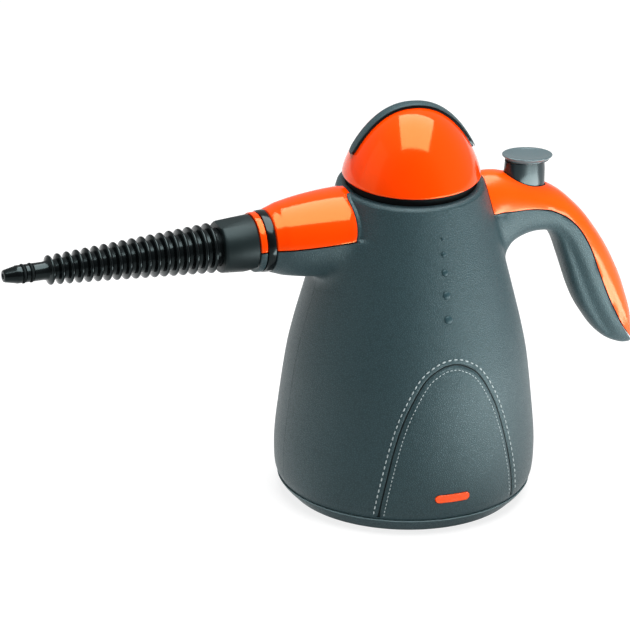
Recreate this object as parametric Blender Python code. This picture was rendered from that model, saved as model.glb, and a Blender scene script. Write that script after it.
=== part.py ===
"""Handheld steam cleaner: a round boiler housing with a finned steam nozzle, a screw cap and a hooked handle.

Sizes below are in millimetres, and finish() turns each mesh into metres. Everything is laid out about the
axis of the round body: X runs from the nozzle (-X) to the handle (+X), and Z is up from the feet. The empty
"body_axis" then carries the whole object along X, so that the middle of its outer box stands over the origin.
"""

import math

import bmesh
import bpy
from mathutils import Matrix, Vector

MM = 0.001
GAP = 0.3
HALF_GAP = GAP / 2

# The round body: outer radius and height, from the seam with the base up to the shoulder.
BODY_PROFILE = [
    (72.6, 9.8), (74.3, 15.0), (75.1, 23.0), (75.1, 35.0), (73.6, 52.0), (70.0, 82.7), (66.5, 101.0),
    (61.9, 119.7), (55.3, 145.0), (49.0, 168.0), (43.5, 188.0), (42.6, 190.2), (41.0, 191.6), (38.4, 192.0),
]
WALL = 2.4
MOUTH_RADIUS = 38.0
AXIS_X = 55.1
HALF_SPACE = 400.0
ROUND_STEPS = 28
MIDDLE_STEPS = 16
NOZZLE_STEPS = 12
SMALL_STEPS = 8
BUTTON_STEPS = 20
NECK_STEPS = 26
FOOT_STEPS = 16
COIL_POINTS = 8
PILL_END_POINTS = 7

# Nozzle side: one horizontal axis carries the neck, the collar and the finned nozzle.
NECK_Z = 166.9
NECK_PROFILE = [
    (-98.6, 17.2), (-94.9, 17.5), (-94.7, 15.4), (-89.2, 15.4), (-89.0, 18.4), (-85.0, 19.8), (-80.0, 21.4),
    (-65.0, 24.0), (-46.0, 25.6), (-20.0, 25.8),
]
NECK_BORE = 11.0
NECK_PARTING_Z = 167.2
NECK_PARTING_RISE = 0.052

# Handle stations: outer point, inner point (both x, z in the plane of the handle) and half width along y.
HANDLE_STATIONS = [
    ((36.0, 191.3), (42.0, 126.0), 15.2), ((50.0, 191.2), (56.0, 138.8), 14.8),
    ((60.0, 188.8), (62.0, 146.6), 14.5), ((72.4, 184.6), (70.0, 150.8), 14.5),
    ((85.2, 178.6), (78.2, 152.0), 14.5), ((94.8, 172.1), (84.4, 150.6), 14.5),
    ((105.9, 160.7), (89.3, 143.8), 14.5), ((114.3, 149.1), (93.1, 133.2), 14.5),
    ((121.1, 138.0), (96.6, 122.7), 14.4), ((126.5, 127.3), (100.1, 112.3), 14.1),
    ((131.2, 116.4), (104.3, 102.4), 13.6), ((134.8, 105.7), (109.4, 93.8), 12.8),
    ((138.0, 95.0), (115.6, 84.9), 11.4), ((139.9, 85.0), (123.4, 77.6), 9.0),
    ((140.7, 77.3), (131.8, 73.4), 5.6), ((140.7, 73.2), (138.0, 72.0), 2.2),
]
HANDLE_SECTION_POWER = 2.4
HANDLE_SECTION_POINTS = 14
HANDLE_HOLLOW_LAST = 13
HANDLE_REGION_HALF_WIDTH = 15.8
HANDLE_PARTING = [
    (20.0, 169.8), (45.0, 170.0), (64.6, 170.1), (73.3, 169.5), (81.9, 167.5), (89.5, 163.7), (96.2, 158.4),
    (101.8, 151.7), (106.3, 144.0), (109.8, 136.0), (114.5, 123.3), (120.4, 108.4), (126.1, 96.7),
    (131.9, 86.0), (142.0, 72.0),
]

# Filler mouth, cap and safety valve.
CAP_RIM_Z = 197.7
CAP_RADIUS = 40.1
CAP_HEIGHT = 40.8
CAP_WALL = 2.2
CAP_RADIUS_POWER = 2.22
CAP_HEIGHT_POWER = 1.26
CAP_TURNED = math.radians(-8.9)
GRIP_HEIGHT = 2.1
GRIP_WIDTH = 7.0
GRIP_ENDS = (math.radians(30.0), math.radians(150.0))
TANK_RADIUS = 38.0
TANK_BOTTOM_Z = 50.0
TANK_TOP_Z = 128.0
TANK_WALL = 2.0
NECK_TUBE_RADIUS = 18.0
NECK_TUBE_BORE = 15.2
NECK_TUBE_TOP_Z = 188.0
NECK_COVER_SETBACK = 1.5
HEATER_RADIUS = 26.0
HEATER_BAR = 3.3
HEATER_Z = 46.3

# Steam button, rocker and valve.
BUTTON_X = 70.6
BUTTON_DISC = (15.3, 10.4)
BUTTON_STEM = (12.4, 8.6)
BUTTON_DISC_Z = 199.0
BUTTON_TILT = math.radians(4.5)
ROCKER_Z = 161.0
SPRING_SHELF_Z = 165.0
VALVE_X = 26.5
ROCKER_X = (BUTTON_X + VALVE_X) / 2

# Collar, finned nozzle and its bayonet.
COLLAR_NEAR_X = -99.0
COLLAR_FAR_X = -119.4
RIB_COUNT = 18
RIB_FIRST_X = -124.8
RIB_LAST_X = -222.6
RIB_CREST = (14.5, 8.6)
RIB_ROOT = (11.0, 5.6)
TIP_X = -250.9

# Base, feet and screws.
FOOT_RADIUS = 7.0
FOOT_CIRCLE = 55.0
FOOT_ANGLES = (45.0, 135.0, 225.0, 315.0)
BASE_SCREW_CIRCLE = 55.0
BASE_SCREW_ANGLES = (15.0, 165.0, 195.0, 345.0)
SHELL_SCREW_PLACES = ((-62.0, 151.5), (88.5, 157.0), (104.0, 126.0), (119.5, 94.0))
TANK_SCREW_ANGLES = (30.0, 150.0, 270.0)
TANK_SCREW_CIRCLE = 44.5
LAMP_Z = 23.8
LAMP_HALF_WIDTH = 10.7
LAMP_HALF_HEIGHT = 2.5
GLAND_Z = 24.0

ORANGE = (1.0, 0.215, 0.0)
SLATE = (0.068, 0.093, 0.102)
BLACK = (0.012, 0.012, 0.013)
STEEL = (0.62, 0.62, 0.62)
BRASS = (0.72, 0.50, 0.20)
ALUMINIUM = (0.72, 0.73, 0.74)
RUBBER = (0.02, 0.02, 0.02)
LAMP_ORANGE = (0.9, 0.12, 0.02)
IVORY = (0.72, 0.68, 0.58)


for old in list(bpy.data.objects):
    bpy.data.objects.remove(old, do_unlink=True)

body_axis = bpy.data.objects.new("body_axis", None)
body_axis.location = (AXIS_X * MM, 0.0, 0.0)
bpy.context.scene.collection.objects.link(body_axis)


def surface(name, colour, roughness, metallic=0.0):
    """One Principled material with a flat colour."""
    made = bpy.data.materials.new(name)
    made.use_nodes = True
    shader = made.node_tree.nodes["Principled BSDF"]
    shader.inputs["Base Color"].default_value = (*colour, 1.0)
    shader.inputs["Roughness"].default_value = roughness
    shader.inputs["Metallic"].default_value = metallic
    return made


def finish(name, bm, colour, roughness=0.4, metallic=0.0, origin=(0.0, 0.0, 0.0)):
    """Turns a bmesh in millimetres into a named object whose origin is at a point of the body's own frame."""
    bmesh.ops.remove_doubles(bm, verts=bm.verts, dist=0.001)
    bmesh.ops.dissolve_degenerate(bm, edges=bm.edges, dist=0.0005)
    bmesh.ops.recalc_face_normals(bm, faces=bm.faces)
    bmesh.ops.translate(bm, verts=bm.verts, vec=-Vector(origin))
    bmesh.ops.scale(bm, verts=bm.verts, vec=(MM, MM, MM))
    mesh = bpy.data.meshes.new(name)
    bm.to_mesh(mesh)
    bm.free()
    mesh.shade_smooth()
    mesh.set_sharp_from_angle(angle=math.radians(35.0))
    mesh.materials.append(surface(name, colour, roughness, metallic))
    made = bpy.data.objects.new(name, mesh)
    made.location = Vector(origin) * MM
    made.parent = body_axis
    bpy.context.scene.collection.objects.link(made)
    return made


def helper(name, bm):
    """A cutter or a form that only shapes other objects."""
    made = finish(name, bm, SLATE)
    made.hide_render = True
    made.display_type = "WIRE"
    return made


def combine(target, other, operation):
    modifier = target.modifiers.new(other.name, "BOOLEAN")
    modifier.operation = operation
    modifier.solver = "EXACT"
    modifier.object = other


def baked(target):
    """A triangulated copy of the object's evaluated mesh, so that several pieces can start from one form."""
    bpy.context.view_layer.update()
    graph = bpy.context.evaluated_depsgraph_get()
    mesh = bpy.data.meshes.new_from_object(target.evaluated_get(graph))
    bm = bmesh.new()
    bm.from_mesh(mesh)
    bmesh.ops.remove_doubles(bm, verts=bm.verts, dist=1e-6)
    bmesh.ops.dissolve_degenerate(bm, edges=bm.edges, dist=1e-6)
    bmesh.ops.triangulate(bm, faces=bm.faces)
    bm.to_mesh(mesh)
    bm.free()
    return mesh


def simplified(target):
    """Replaces an object's modifiers with their result."""
    mesh = baked(target)
    target.modifiers.clear()
    target.data = mesh
    return target


def piece_of(name, mesh, colour, roughness):
    """A new object on a copy of a shaped mesh, already in metres and in the body's own frame."""
    made = bpy.data.objects.new(name, mesh.copy())
    made.data.materials.clear()
    made.data.materials.append(surface(name, colour, roughness))
    made.parent = body_axis
    bpy.context.scene.collection.objects.link(made)
    return made


def turned(points, steps=ROUND_STEPS, ring=False):
    """A profile of (radius, height) points spun about Z. A ring is a closed one that stays off the axis."""
    bm = bmesh.new()
    verts = [bm.verts.new((radius, 0.0, height)) for radius, height in points]
    edges = [bm.edges.new(pair) for pair in zip(verts, verts[1:])]
    if ring:
        edges.append(bm.edges.new((verts[-1], verts[0])))
    bmesh.ops.spin(
        bm, geom=verts + edges, cent=(0, 0, 0), axis=(0, 0, 1), angle=2 * math.pi, steps=steps,
        use_merge=True,
    )
    bmesh.ops.remove_doubles(bm, verts=bm.verts, dist=0.0005)
    return bm


def along_x(bm, z, y=0.0):
    """Lays a shape turned about Z along X, so that its heights become x, at this y and z."""
    bmesh.ops.rotate(bm, verts=bm.verts, cent=(0, 0, 0), matrix=Matrix.Rotation(math.pi / 2, 3, "Y"))
    bmesh.ops.translate(bm, verts=bm.verts, vec=(0.0, y, z))
    return bm


def moved(bm, x=0.0, y=0.0, z=0.0):
    bmesh.ops.translate(bm, verts=bm.verts, vec=(x, y, z))
    return bm


def block(low, high):
    """A box between two corners."""
    bm = bmesh.new()
    bmesh.ops.create_cube(bm, size=1.0)
    size = Vector(high) - Vector(low)
    bmesh.ops.scale(bm, verts=bm.verts, vec=size)
    bmesh.ops.translate(bm, verts=bm.verts, vec=(Vector(high) + Vector(low)) / 2)
    return bm


def rod(radius, start, end, steps=SMALL_STEPS):
    """A solid round bar between two points."""
    bm = bmesh.new()
    line = Vector(end) - Vector(start)
    bmesh.ops.create_cone(
        bm, cap_ends=True, segments=steps, radius1=radius, radius2=radius, depth=line.length
    )
    turn = line.to_track_quat("Z", "Y").to_matrix()
    bmesh.ops.rotate(bm, verts=bm.verts, cent=(0, 0, 0), matrix=turn)
    bmesh.ops.translate(bm, verts=bm.verts, vec=(Vector(end) + Vector(start)) / 2)
    return bm


def stepped_hole(place, axis, steps):
    """A cutter of several radii in a row, each step a (radius, start, end) along the axis from the place."""
    profile = [(0.0, steps[0][1])]
    for radius, start, end in steps:
        profile += [(radius, start), (radius, end)]
    profile.append((0.0, steps[-1][2]))
    bm = turned(profile, SMALL_STEPS)
    turn = Vector(axis).to_track_quat("Z", "Y").to_matrix()
    bmesh.ops.rotate(bm, verts=bm.verts, cent=(0, 0, 0), matrix=turn)
    return moved(bm, *place)


def prism(outline, y_low, y_high):
    """An outline of (x, z) points extruded along Y."""
    bm = bmesh.new()
    face = bm.faces.new([bm.verts.new((x, y_low, z)) for x, z in outline])
    pulled = bmesh.ops.extrude_face_region(bm, geom=[face])
    top = [item for item in pulled["geom"] if isinstance(item, bmesh.types.BMVert)]
    bmesh.ops.translate(bm, verts=top, vec=(0.0, y_high - y_low, 0.0))
    return bm


def lofted(sections):
    """Bridges rings of points into one closed skin."""
    bm = bmesh.new()
    loops = []
    for section in sections:
        ring = [bm.verts.new(point) for point in section]
        loops.append([bm.edges.new((ring[i - 1], ring[i])) for i in range(len(ring))])
    for first, second in zip(loops, loops[1:]):
        bmesh.ops.bridge_loops(bm, edges=first + second)
    bmesh.ops.holes_fill(bm, edges=loops[0])
    bmesh.ops.holes_fill(bm, edges=loops[-1])
    return bm


def joined(*parts):
    """Several separate shapes in one bmesh, for cutters and other helpers."""
    whole = bmesh.new()
    for part in parts:
        shape = bpy.data.meshes.new("shape")
        part.to_mesh(shape)
        part.free()
        whole.from_mesh(shape)
        bpy.data.meshes.remove(shape)
    return whole


def polar(radius, degrees):
    angle = math.radians(degrees)
    return radius * math.cos(angle), radius * math.sin(angle)


def coil(name, radius, wire, low, high, turns, centre):
    """A compression spring about a vertical axis, as one unbroken wire."""
    count = turns * COIL_POINTS + 1
    curve = bpy.data.curves.new(name, "CURVE")
    curve.dimensions = "3D"
    curve.bevel_depth = wire * MM
    curve.bevel_resolution = 1
    curve.use_fill_caps = True
    spline = curve.splines.new("POLY")
    spline.points.add(count - 1)
    pitch = (high - low - 2 * wire) / turns
    for i, point in enumerate(spline.points):
        angle = 2 * math.pi * i / COIL_POINTS
        height = low + wire + pitch * i / COIL_POINTS - centre[2]
        point.co = (radius * math.cos(angle) * MM, radius * math.sin(angle) * MM, height * MM, 1.0)
    curve.materials.append(surface(name, STEEL, 0.3, 1.0))
    made = bpy.data.objects.new(name, curve)
    made.location = Vector(centre) * MM
    made.parent = body_axis
    bpy.context.scene.collection.objects.link(made)
    print(f"{name}: least gap between turns {pitch - 2 * wire:.2f} mm")
    return made


# The casing: one outer form less one inner form.

def body_form(grow):
    rim = [(radius + grow, height) for radius, height in BODY_PROFILE]
    top = BODY_PROFILE[-1][1] + grow
    rim[-1] = (rim[-1][0], top)
    return turned([(0.0, BODY_PROFILE[0][1])] + rim + [(0.0, top)])


def neck_inside():
    hollow_rim = [(x + WALL, radius - WALL) for x, radius in NECK_PROFILE[6:]]
    return neck_form([(-102.0, NECK_BORE), (-84.0, NECK_BORE)] + hollow_rim)


def neck_form(profile):
    points = [(0.0, profile[0][0])] + [(radius, x) for x, radius in profile] + [(0.0, profile[-1][0])]
    return along_x(turned(points, NECK_STEPS), NECK_Z)


def handle_section(outer, inner, half_width, inset):
    """A rounded section between the outer and inner point, as a ring of points about the middle."""
    outer = Vector((outer[0], 0.0, outer[1]))
    inner = Vector((inner[0], 0.0, inner[1]))
    middle = (outer + inner) / 2
    across = (outer - inner).normalized()
    half = (outer - inner).length / 2 - inset
    ring = []
    for i in range(HANDLE_SECTION_POINTS):
        angle = 2 * math.pi * i / HANDLE_SECTION_POINTS
        bend = 2 / HANDLE_SECTION_POWER
        side = math.copysign(abs(math.sin(angle)) ** bend, math.sin(angle))
        up = math.copysign(abs(math.cos(angle)) ** bend, math.cos(angle))
        ring.append(middle + across * half * up + Vector((0.0, 1.0, 0.0)) * (half_width - inset) * side)
    return ring


def handle_form(inset):
    stations = HANDLE_STATIONS if inset == 0.0 else HANDLE_STATIONS[:HANDLE_HOLLOW_LAST]
    return lofted([handle_section(outer, inner, width, inset) for outer, inner, width in stations])


casing = helper("casing_form", body_form(0.0))
combine(casing, helper("neck_outside", neck_form(NECK_PROFILE)), "UNION")
combine(casing, helper("handle_outside", handle_form(0.0)), "UNION")

# The hollow inside, less every boss and post that the halves carry.
hollow_rim = [(radius - WALL, height) for radius, height in BODY_PROFILE[:-3]]
hollow_profile = [(0.0, 0.0), (hollow_rim[0][0], 0.0)] + hollow_rim
hollow_profile += [(MOUTH_RADIUS, 189.8), (MOUTH_RADIUS, 204.0), (0.0, 204.0)]
hollow = helper("hollow_form", turned(hollow_profile))
combine(hollow, helper("neck_inside", neck_inside()), "UNION")
combine(hollow, helper("handle_inside", handle_form(WALL)), "UNION")

post_shapes = []
for degrees in BASE_SCREW_ANGLES:
    x, y = polar(BASE_SCREW_CIRCLE, degrees)
    post_shapes.append(rod(4.2, (x, y, 9.0), (x, y, 32.0)))
posts = helper("base_posts", joined(*post_shapes))
combine(hollow, posts, "DIFFERENCE")
web_shapes = []
for degrees in BASE_SCREW_ANGLES:
    web = block((BASE_SCREW_CIRCLE, -1.2, 16.0), (74.0, 1.2, 31.0))
    turn = Matrix.Rotation(math.radians(degrees), 3, "Z")
    bmesh.ops.rotate(web, verts=web.verts, cent=(0, 0, 0), matrix=turn)
    web_shapes.append(web)
combine(hollow, helper("post_webs", joined(*web_shapes)), "DIFFERENCE")
pillars = [rod(3.6, (x, -40.0, z), (x, 40.0, z)) for x, z in SHELL_SCREW_PLACES]
combine(hollow, helper("screw_pillars", joined(*pillars)), "DIFFERENCE")
pivots = []
for side in (-1, 1):
    pivots.append(rod(3.6, (ROCKER_X, side * 4.6, ROCKER_Z), (ROCKER_X, side * 50.0, ROCKER_Z)))
combine(hollow, helper("pivot_bosses", joined(*pivots)), "DIFFERENCE")
shelf = block((BUTTON_X - 8.0, -30.0, SPRING_SHELF_Z - 1.8), (BUTTON_X + 8.0, 30.0, SPRING_SHELF_Z))
combine(hollow, helper("spring_shelf", shelf), "DIFFERENCE")
combine(casing, hollow, "DIFFERENCE")

# Holes through the casing: screws, rocker pin, button stem, lamp and cord gland.
screw_cutters = []
for x, z in SHELL_SCREW_PLACES:
    screw_cutters.append(stepped_hole((x, 0.0, z), (0, 1, 0), [(1.6, -8.0, 8.3), (3.4, 8.3, 40.0)]))
for degrees in BASE_SCREW_ANGLES:
    x, y = polar(BASE_SCREW_CIRCLE, degrees)
    screw_cutters.append(rod(1.7, (x, y, 5.0), (x, y, 20.0)))
combine(casing, helper("screw_holes", joined(*screw_cutters)), "DIFFERENCE")
pin_bore = rod(1.9, (ROCKER_X, -10.0, ROCKER_Z), (ROCKER_X, 10.0, ROCKER_Z))
combine(casing, helper("pin_bore", pin_bore), "DIFFERENCE")
rod_bore = rod(2.0, (BUTTON_X, 0.0, SPRING_SHELF_Z - 5.0), (BUTTON_X, 0.0, SPRING_SHELF_Z + 3.0))
combine(casing, helper("push_rod_bore", rod_bore), "DIFFERENCE")


def oval(half_x, half_y, low, high, centre_x):
    """An upright oval bar."""
    bm = turned([(0.0, low), (1.0, low), (1.0, high), (0.0, high)], BUTTON_STEPS)
    bmesh.ops.scale(bm, verts=bm.verts, vec=(half_x, half_y, 1.0))
    return moved(bm, centre_x)


stem_hole = oval(BUTTON_STEM[0] + 0.5, BUTTON_STEM[1] + 0.5, 172.0, 205.0, BUTTON_X)
combine(casing, helper("stem_hole", stem_hole), "DIFFERENCE")


def pill(half_x, half_z, y_low, y_high, z):
    """A slot with round ends, along Y."""
    outline = []
    for side in (1, -1):
        for i in range(PILL_END_POINTS):
            angle = side * math.pi / 2 - math.pi * i / (PILL_END_POINTS - 1)
            end_x = side * (half_x - half_z)
            outline.append((end_x + half_z * math.cos(angle), z + half_z * math.sin(angle)))
    return prism(outline, y_low, y_high)


lamp_slot = pill(LAMP_HALF_WIDTH + 0.2, LAMP_HALF_HEIGHT + 0.2, -80.0, -66.0, LAMP_Z)
combine(casing, helper("lamp_slot", lamp_slot), "DIFFERENCE")
gland_hole = rod(4.8, (66.0, 0.0, GLAND_Z), (84.0, 0.0, GLAND_Z), MIDDLE_STEPS)
combine(casing, helper("gland_hole", gland_hole), "DIFFERENCE")
casing_mesh = baked(casing)


# The halves and covers are the parts of the casing that lie in their own regions.

def neck_region(name, grow):
    """The neck's own space above its parting plane, a little clear of the round body."""
    past_end = [(-104.0, NECK_PROFILE[5][1] + 0.8), (NECK_PROFILE[4][0], NECK_PROFILE[5][1] + 0.8)]
    region = helper(name, neck_form(past_end + [(x, radius + 0.8) for x, radius in NECK_PROFILE[6:]]))
    far_x, near_x = -120.0, -10.0
    far_z = NECK_PARTING_Z + NECK_PARTING_RISE * (far_x - NECK_PROFILE[4][0]) - grow
    near_z = NECK_PARTING_Z + NECK_PARTING_RISE * (near_x - NECK_PROFILE[4][0]) - grow
    above = prism([(far_x, far_z), (near_x, near_z), (near_x, 215.0), (far_x, 215.0)], -60.0, 60.0)
    combine(region, helper(name + "_above", above), "INTERSECT")
    combine(region, helper(name + "_body", body_form(NECK_COVER_SETBACK - grow)), "DIFFERENCE")
    return simplified(region)


def handle_region(name, grow):
    """The handle's own space outside its parting line and outside the round body."""
    slide = grow / math.sqrt(2)
    line = [(x - slide, z - slide) for x, z in HANDLE_PARTING]
    outline = line + [(160.0, 70.0), (160.0, 215.0), (20.0, 215.0)]
    region = helper(name, prism(outline, -HANDLE_REGION_HALF_WIDTH, HANDLE_REGION_HALF_WIDTH))
    combine(region, helper(name + "_body", body_form(-grow)), "DIFFERENCE")
    return simplified(region)


neck_wide = neck_region("neck_region_wide", HALF_GAP)
neck_tight = neck_region("neck_region_tight", -HALF_GAP)
handle_wide = handle_region("handle_region_wide", HALF_GAP)
handle_tight = handle_region("handle_region_tight", -HALF_GAP)
rear_half = helper("rear_half", block((-HALF_SPACE, -HALF_GAP, -10.0), (HALF_SPACE, 100.0, 300.0)))
front_half = helper("front_half", block((-HALF_SPACE, -100.0, -10.0), (HALF_SPACE, HALF_GAP, 300.0)))

for name, other_half in (("shell_front", rear_half), ("shell_rear", front_half)):
    shell = piece_of(name, casing_mesh, SLATE, 0.55)
    combine(shell, neck_wide, "DIFFERENCE")
    combine(shell, handle_wide, "DIFFERENCE")
    combine(shell, other_half, "DIFFERENCE")
combine(piece_of("nozzle_cover", casing_mesh, ORANGE, 0.18), neck_tight, "INTERSECT")
combine(piece_of("handle_cover", casing_mesh, ORANGE, 0.18), handle_tight, "INTERSECT")

# Base plate with its bosses, feet and screws.
base_profile = [
    (0.0, 0.8), (65.2, 0.8), (66.8, 2.2), (69.9, 5.4), (72.3, 9.4), (69.7, 9.4), (69.4, 13.0), (67.6, 13.0),
    (66.4, 6.2), (63.6, 3.2), (0.0, 3.2),
]
base_plate = finish("base_plate", turned(base_profile), SLATE, 0.5)
base_bosses = []
base_cuts = []
for degrees in BASE_SCREW_ANGLES:
    x, y = polar(BASE_SCREW_CIRCLE, degrees)
    base_bosses.append(rod(5.4, (x, y, 2.0), (x, y, 8.7)))
    base_cuts.append(stepped_hole((x, y, 0.0), (0, 0, 1), [(3.6, -2.0, 4.6), (1.8, 4.6, 20.0)]))
for degrees in TANK_SCREW_ANGLES:
    x, y = polar(TANK_SCREW_CIRCLE, degrees)
    base_bosses.append(rod(4.0, (x, y, 2.0), (x, y, 55.7)))
    base_cuts.append(rod(1.5, (x, y, 40.0), (x, y, 60.0)))
combine(base_plate, helper("base_bosses", joined(*base_bosses)), "UNION")
foot_profile = [(0.0, 0.0), (FOOT_RADIUS - 0.5, 0.0), (FOOT_RADIUS, 0.5), (FOOT_RADIUS, 1.6), (0.0, 1.6)]
for k, degrees in enumerate(FOOT_ANGLES, start=1):
    x, y = polar(FOOT_CIRCLE, degrees)
    base_cuts.append(rod(FOOT_RADIUS + GAP, (x, y, -2.0), (x, y, 1.9), FOOT_STEPS))
    finish(f"foot_{k}", moved(turned(foot_profile, FOOT_STEPS), x, y), RUBBER, 0.8)
combine(base_plate, helper("base_cuts", joined(*base_cuts)), "DIFFERENCE")


def screw(name, head_radius, head_height, shank_radius, length, place, axis):
    """A pan-head screw whose head's seat is at the place and whose shank runs along the axis."""
    profile = [
        (0.0, -head_height), (head_radius * 0.8, -head_height), (head_radius, 0.0), (shank_radius, 0.0),
        (shank_radius, length), (0.0, length),
    ]
    bm = turned(profile, SMALL_STEPS)
    turn = Vector(axis).to_track_quat("Z", "Y").to_matrix()
    bmesh.ops.rotate(bm, verts=bm.verts, cent=(0, 0, 0), matrix=turn)
    finish(name, moved(bm, *place), STEEL, 0.35, 1.0)


for k, degrees in enumerate(BASE_SCREW_ANGLES, start=1):
    x, y = polar(BASE_SCREW_CIRCLE, degrees)
    screw(f"base_screw_{k}", 3.2, 2.2, 1.45, 14.0, (x, y, 4.3), (0, 0, 1))
for k, (x, z) in enumerate(SHELL_SCREW_PLACES, start=1):
    screw(f"shell_screw_{k}", 3.0, 2.0, 1.3, 16.0, (x, 8.6, z), (0, -1, 0))
for k, degrees in enumerate(TANK_SCREW_ANGLES, start=1):
    x, y = polar(TANK_SCREW_CIRCLE, degrees)
    screw(f"tank_screw_{k}", 3.0, 2.0, 1.2, 14.0, (x, y, 58.3), (0, 0, -1))

# Boiler tank: one spun vessel with a filling neck and a mounting flange.
tank_profile = [
    (0.0, TANK_BOTTOM_Z), (33.0, TANK_BOTTOM_Z), (36.8, 51.6), (TANK_RADIUS, 55.0), (TANK_RADIUS, 56.0),
    (48.5, 56.0), (48.5, 58.0), (TANK_RADIUS, 58.0), (TANK_RADIUS, 122.0), (36.6, 126.2), (33.4, TANK_TOP_Z),
    (NECK_TUBE_RADIUS, TANK_TOP_Z), (NECK_TUBE_RADIUS, NECK_TUBE_TOP_Z), (NECK_TUBE_BORE, NECK_TUBE_TOP_Z),
    (NECK_TUBE_BORE, TANK_TOP_Z - TANK_WALL), (32.6, TANK_TOP_Z - TANK_WALL), (35.0, 124.8), (36.0, 121.6),
    (36.0, 55.4), (35.0, 53.2), (32.2, 52.0), (0.0, 52.0),
]
tank = finish("boiler_tank", turned(tank_profile, MIDDLE_STEPS), ALUMINIUM, 0.35, 1.0)
tank_holes = [rod(2.0, (VALVE_X, 0.0, 120.0), (VALVE_X, 0.0, 135.0))]
for degrees in TANK_SCREW_ANGLES:
    x, y = polar(TANK_SCREW_CIRCLE, degrees)
    tank_holes.append(rod(1.6, (x, y, 54.0), (x, y, 60.0)))
combine(tank, helper("tank_holes", joined(*tank_holes)), "DIFFERENCE")

heater_section = []
for i in range(6):
    x, z = polar(HEATER_BAR, 60.0 * i)
    heater_section.append((HEATER_RADIUS + x, HEATER_Z + z))
finish("heater_ring", turned(heater_section, MIDDLE_STEPS, ring=True), STEEL, 0.4, 1.0)
thermostat_profile = [(0.0, 42.0), (4.5, 42.0), (4.5, 45.0), (8.0, 45.0), (8.0, 49.7), (0.0, 49.7)]
finish("thermostat", turned(thermostat_profile, SMALL_STEPS), IVORY, 0.5)
finish("thermal_fuse", rod(2.1, (-7.0, 14.0, 47.5), (7.0, 14.0, 47.5)), STEEL, 0.4, 1.0)

# Black filler collar inside the mouth of the body.
collar_profile = [(33.4, 185.0), (40.4, 185.0), (40.4, 187.2), (37.2, 188.0), (37.2, 197.0), (33.4, 197.0)]
finish("filler_collar", turned(collar_profile, ROUND_STEPS, ring=True), BLACK, 0.4)

# Cap: plug with its gasket and safety valve, spring, dome and grip strip.
thread = []
for k in range(4):
    bottom = 174.4 + 3.6 * k
    thread += [(13.4, bottom), (14.7, bottom + 1.2), (13.4, bottom + 2.4)]
plug_profile = [(2.4, 174.0), (12.6, 174.0)] + thread
plug_profile += [
    (13.4, 190.5), (30.0, 190.5), (30.0, 193.0), (11.6, 193.0), (11.6, 215.6), (5.2, 215.6), (5.2, 178.2),
    (2.4, 178.2),
]
finish("cap_plug", turned(plug_profile, MIDDLE_STEPS, ring=True), BLACK, 0.5)
gasket_profile = [(14.0, 188.4), (18.2, 188.4), (18.2, 190.2), (14.0, 190.2)]
finish("cap_gasket", turned(gasket_profile, MIDDLE_STEPS, ring=True), RUBBER, 0.8)
pin_profile = [(0.0, 178.5), (3.9, 178.5), (3.9, 180.8), (1.3, 181.4), (1.3, 196.0), (0.0, 196.0)]
finish("relief_pin", turned(pin_profile, SMALL_STEPS), BRASS, 0.3, 1.0)
nut_profile = [(1.9, 198.6), (4.9, 198.6), (4.9, 202.4), (1.9, 202.4)]
finish("relief_nut", turned(nut_profile, SMALL_STEPS, ring=True), BRASS, 0.3, 1.0)
snap_profile = [(11.9, 213.6), (15.6, 213.6), (15.6, 214.9), (11.9, 214.9)]
finish("cap_snap_ring", turned(snap_profile, MIDDLE_STEPS, ring=True), STEEL, 0.3, 1.0)
coil("relief_spring", 3.0, 0.4, 182.0, 198.3, 4, (0.0, 0.0, 0.0))
coil("cap_spring", 15.6, 0.8, 193.3, 210.7, 4, (0.0, 0.0, 0.0))


def dome_points(radius, height, count=8):
    """The dome's arc from its rim to its crown."""
    points = []
    for i in range(count):
        angle = (math.pi / 2) * i / (count - 1)
        out = radius * math.cos(angle) ** (2 / CAP_RADIUS_POWER)
        points.append((out, CAP_RIM_Z + height * math.sin(angle) ** (2 / CAP_HEIGHT_POWER)))
    points[-1] = (0.0, CAP_RIM_Z + height)
    return points


outside = dome_points(CAP_RADIUS, CAP_HEIGHT)
inside = dome_points(CAP_RADIUS - CAP_WALL, CAP_HEIGHT - CAP_WALL)
dome = finish("cap_dome", turned(outside[::-1] + inside, ROUND_STEPS), ORANGE, 0.18)
hub_profile = [(23.2, 197.5), (25.6, 197.5), (25.6, 224.3), (23.2, 226.7), (23.2, 213.2), (13.0, 213.2)]
hub_profile += [(13.0, 211.0), (23.2, 211.0)]
combine(dome, helper("dome_hub", turned(hub_profile, MIDDLE_STEPS, ring=True)), "UNION")


def grip_arc(lift, count=15):
    """The dome's arc seen from the side, lifted off it, from one end of the grip strip to the other."""
    first, last = GRIP_ENDS
    points = []
    for i in range(count):
        angle = first + (last - first) * i / (count - 1)
        across = math.copysign(abs(math.cos(angle)) ** (2 / CAP_RADIUS_POWER), math.cos(angle))
        up = math.sin(angle) ** (2 / CAP_HEIGHT_POWER)
        points.append(((CAP_RADIUS + lift) * across, CAP_RIM_Z + (CAP_HEIGHT + lift) * up))
    return points


grip = prism(grip_arc(GRIP_HEIGHT) + grip_arc(GAP)[::-1], -GRIP_WIDTH / 2, GRIP_WIDTH / 2)
bmesh.ops.rotate(grip, verts=grip.verts, cent=(0, 0, 0), matrix=Matrix.Rotation(CAP_TURNED, 3, "Z"))
finish("cap_grip", grip, SLATE, 0.45)

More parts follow.
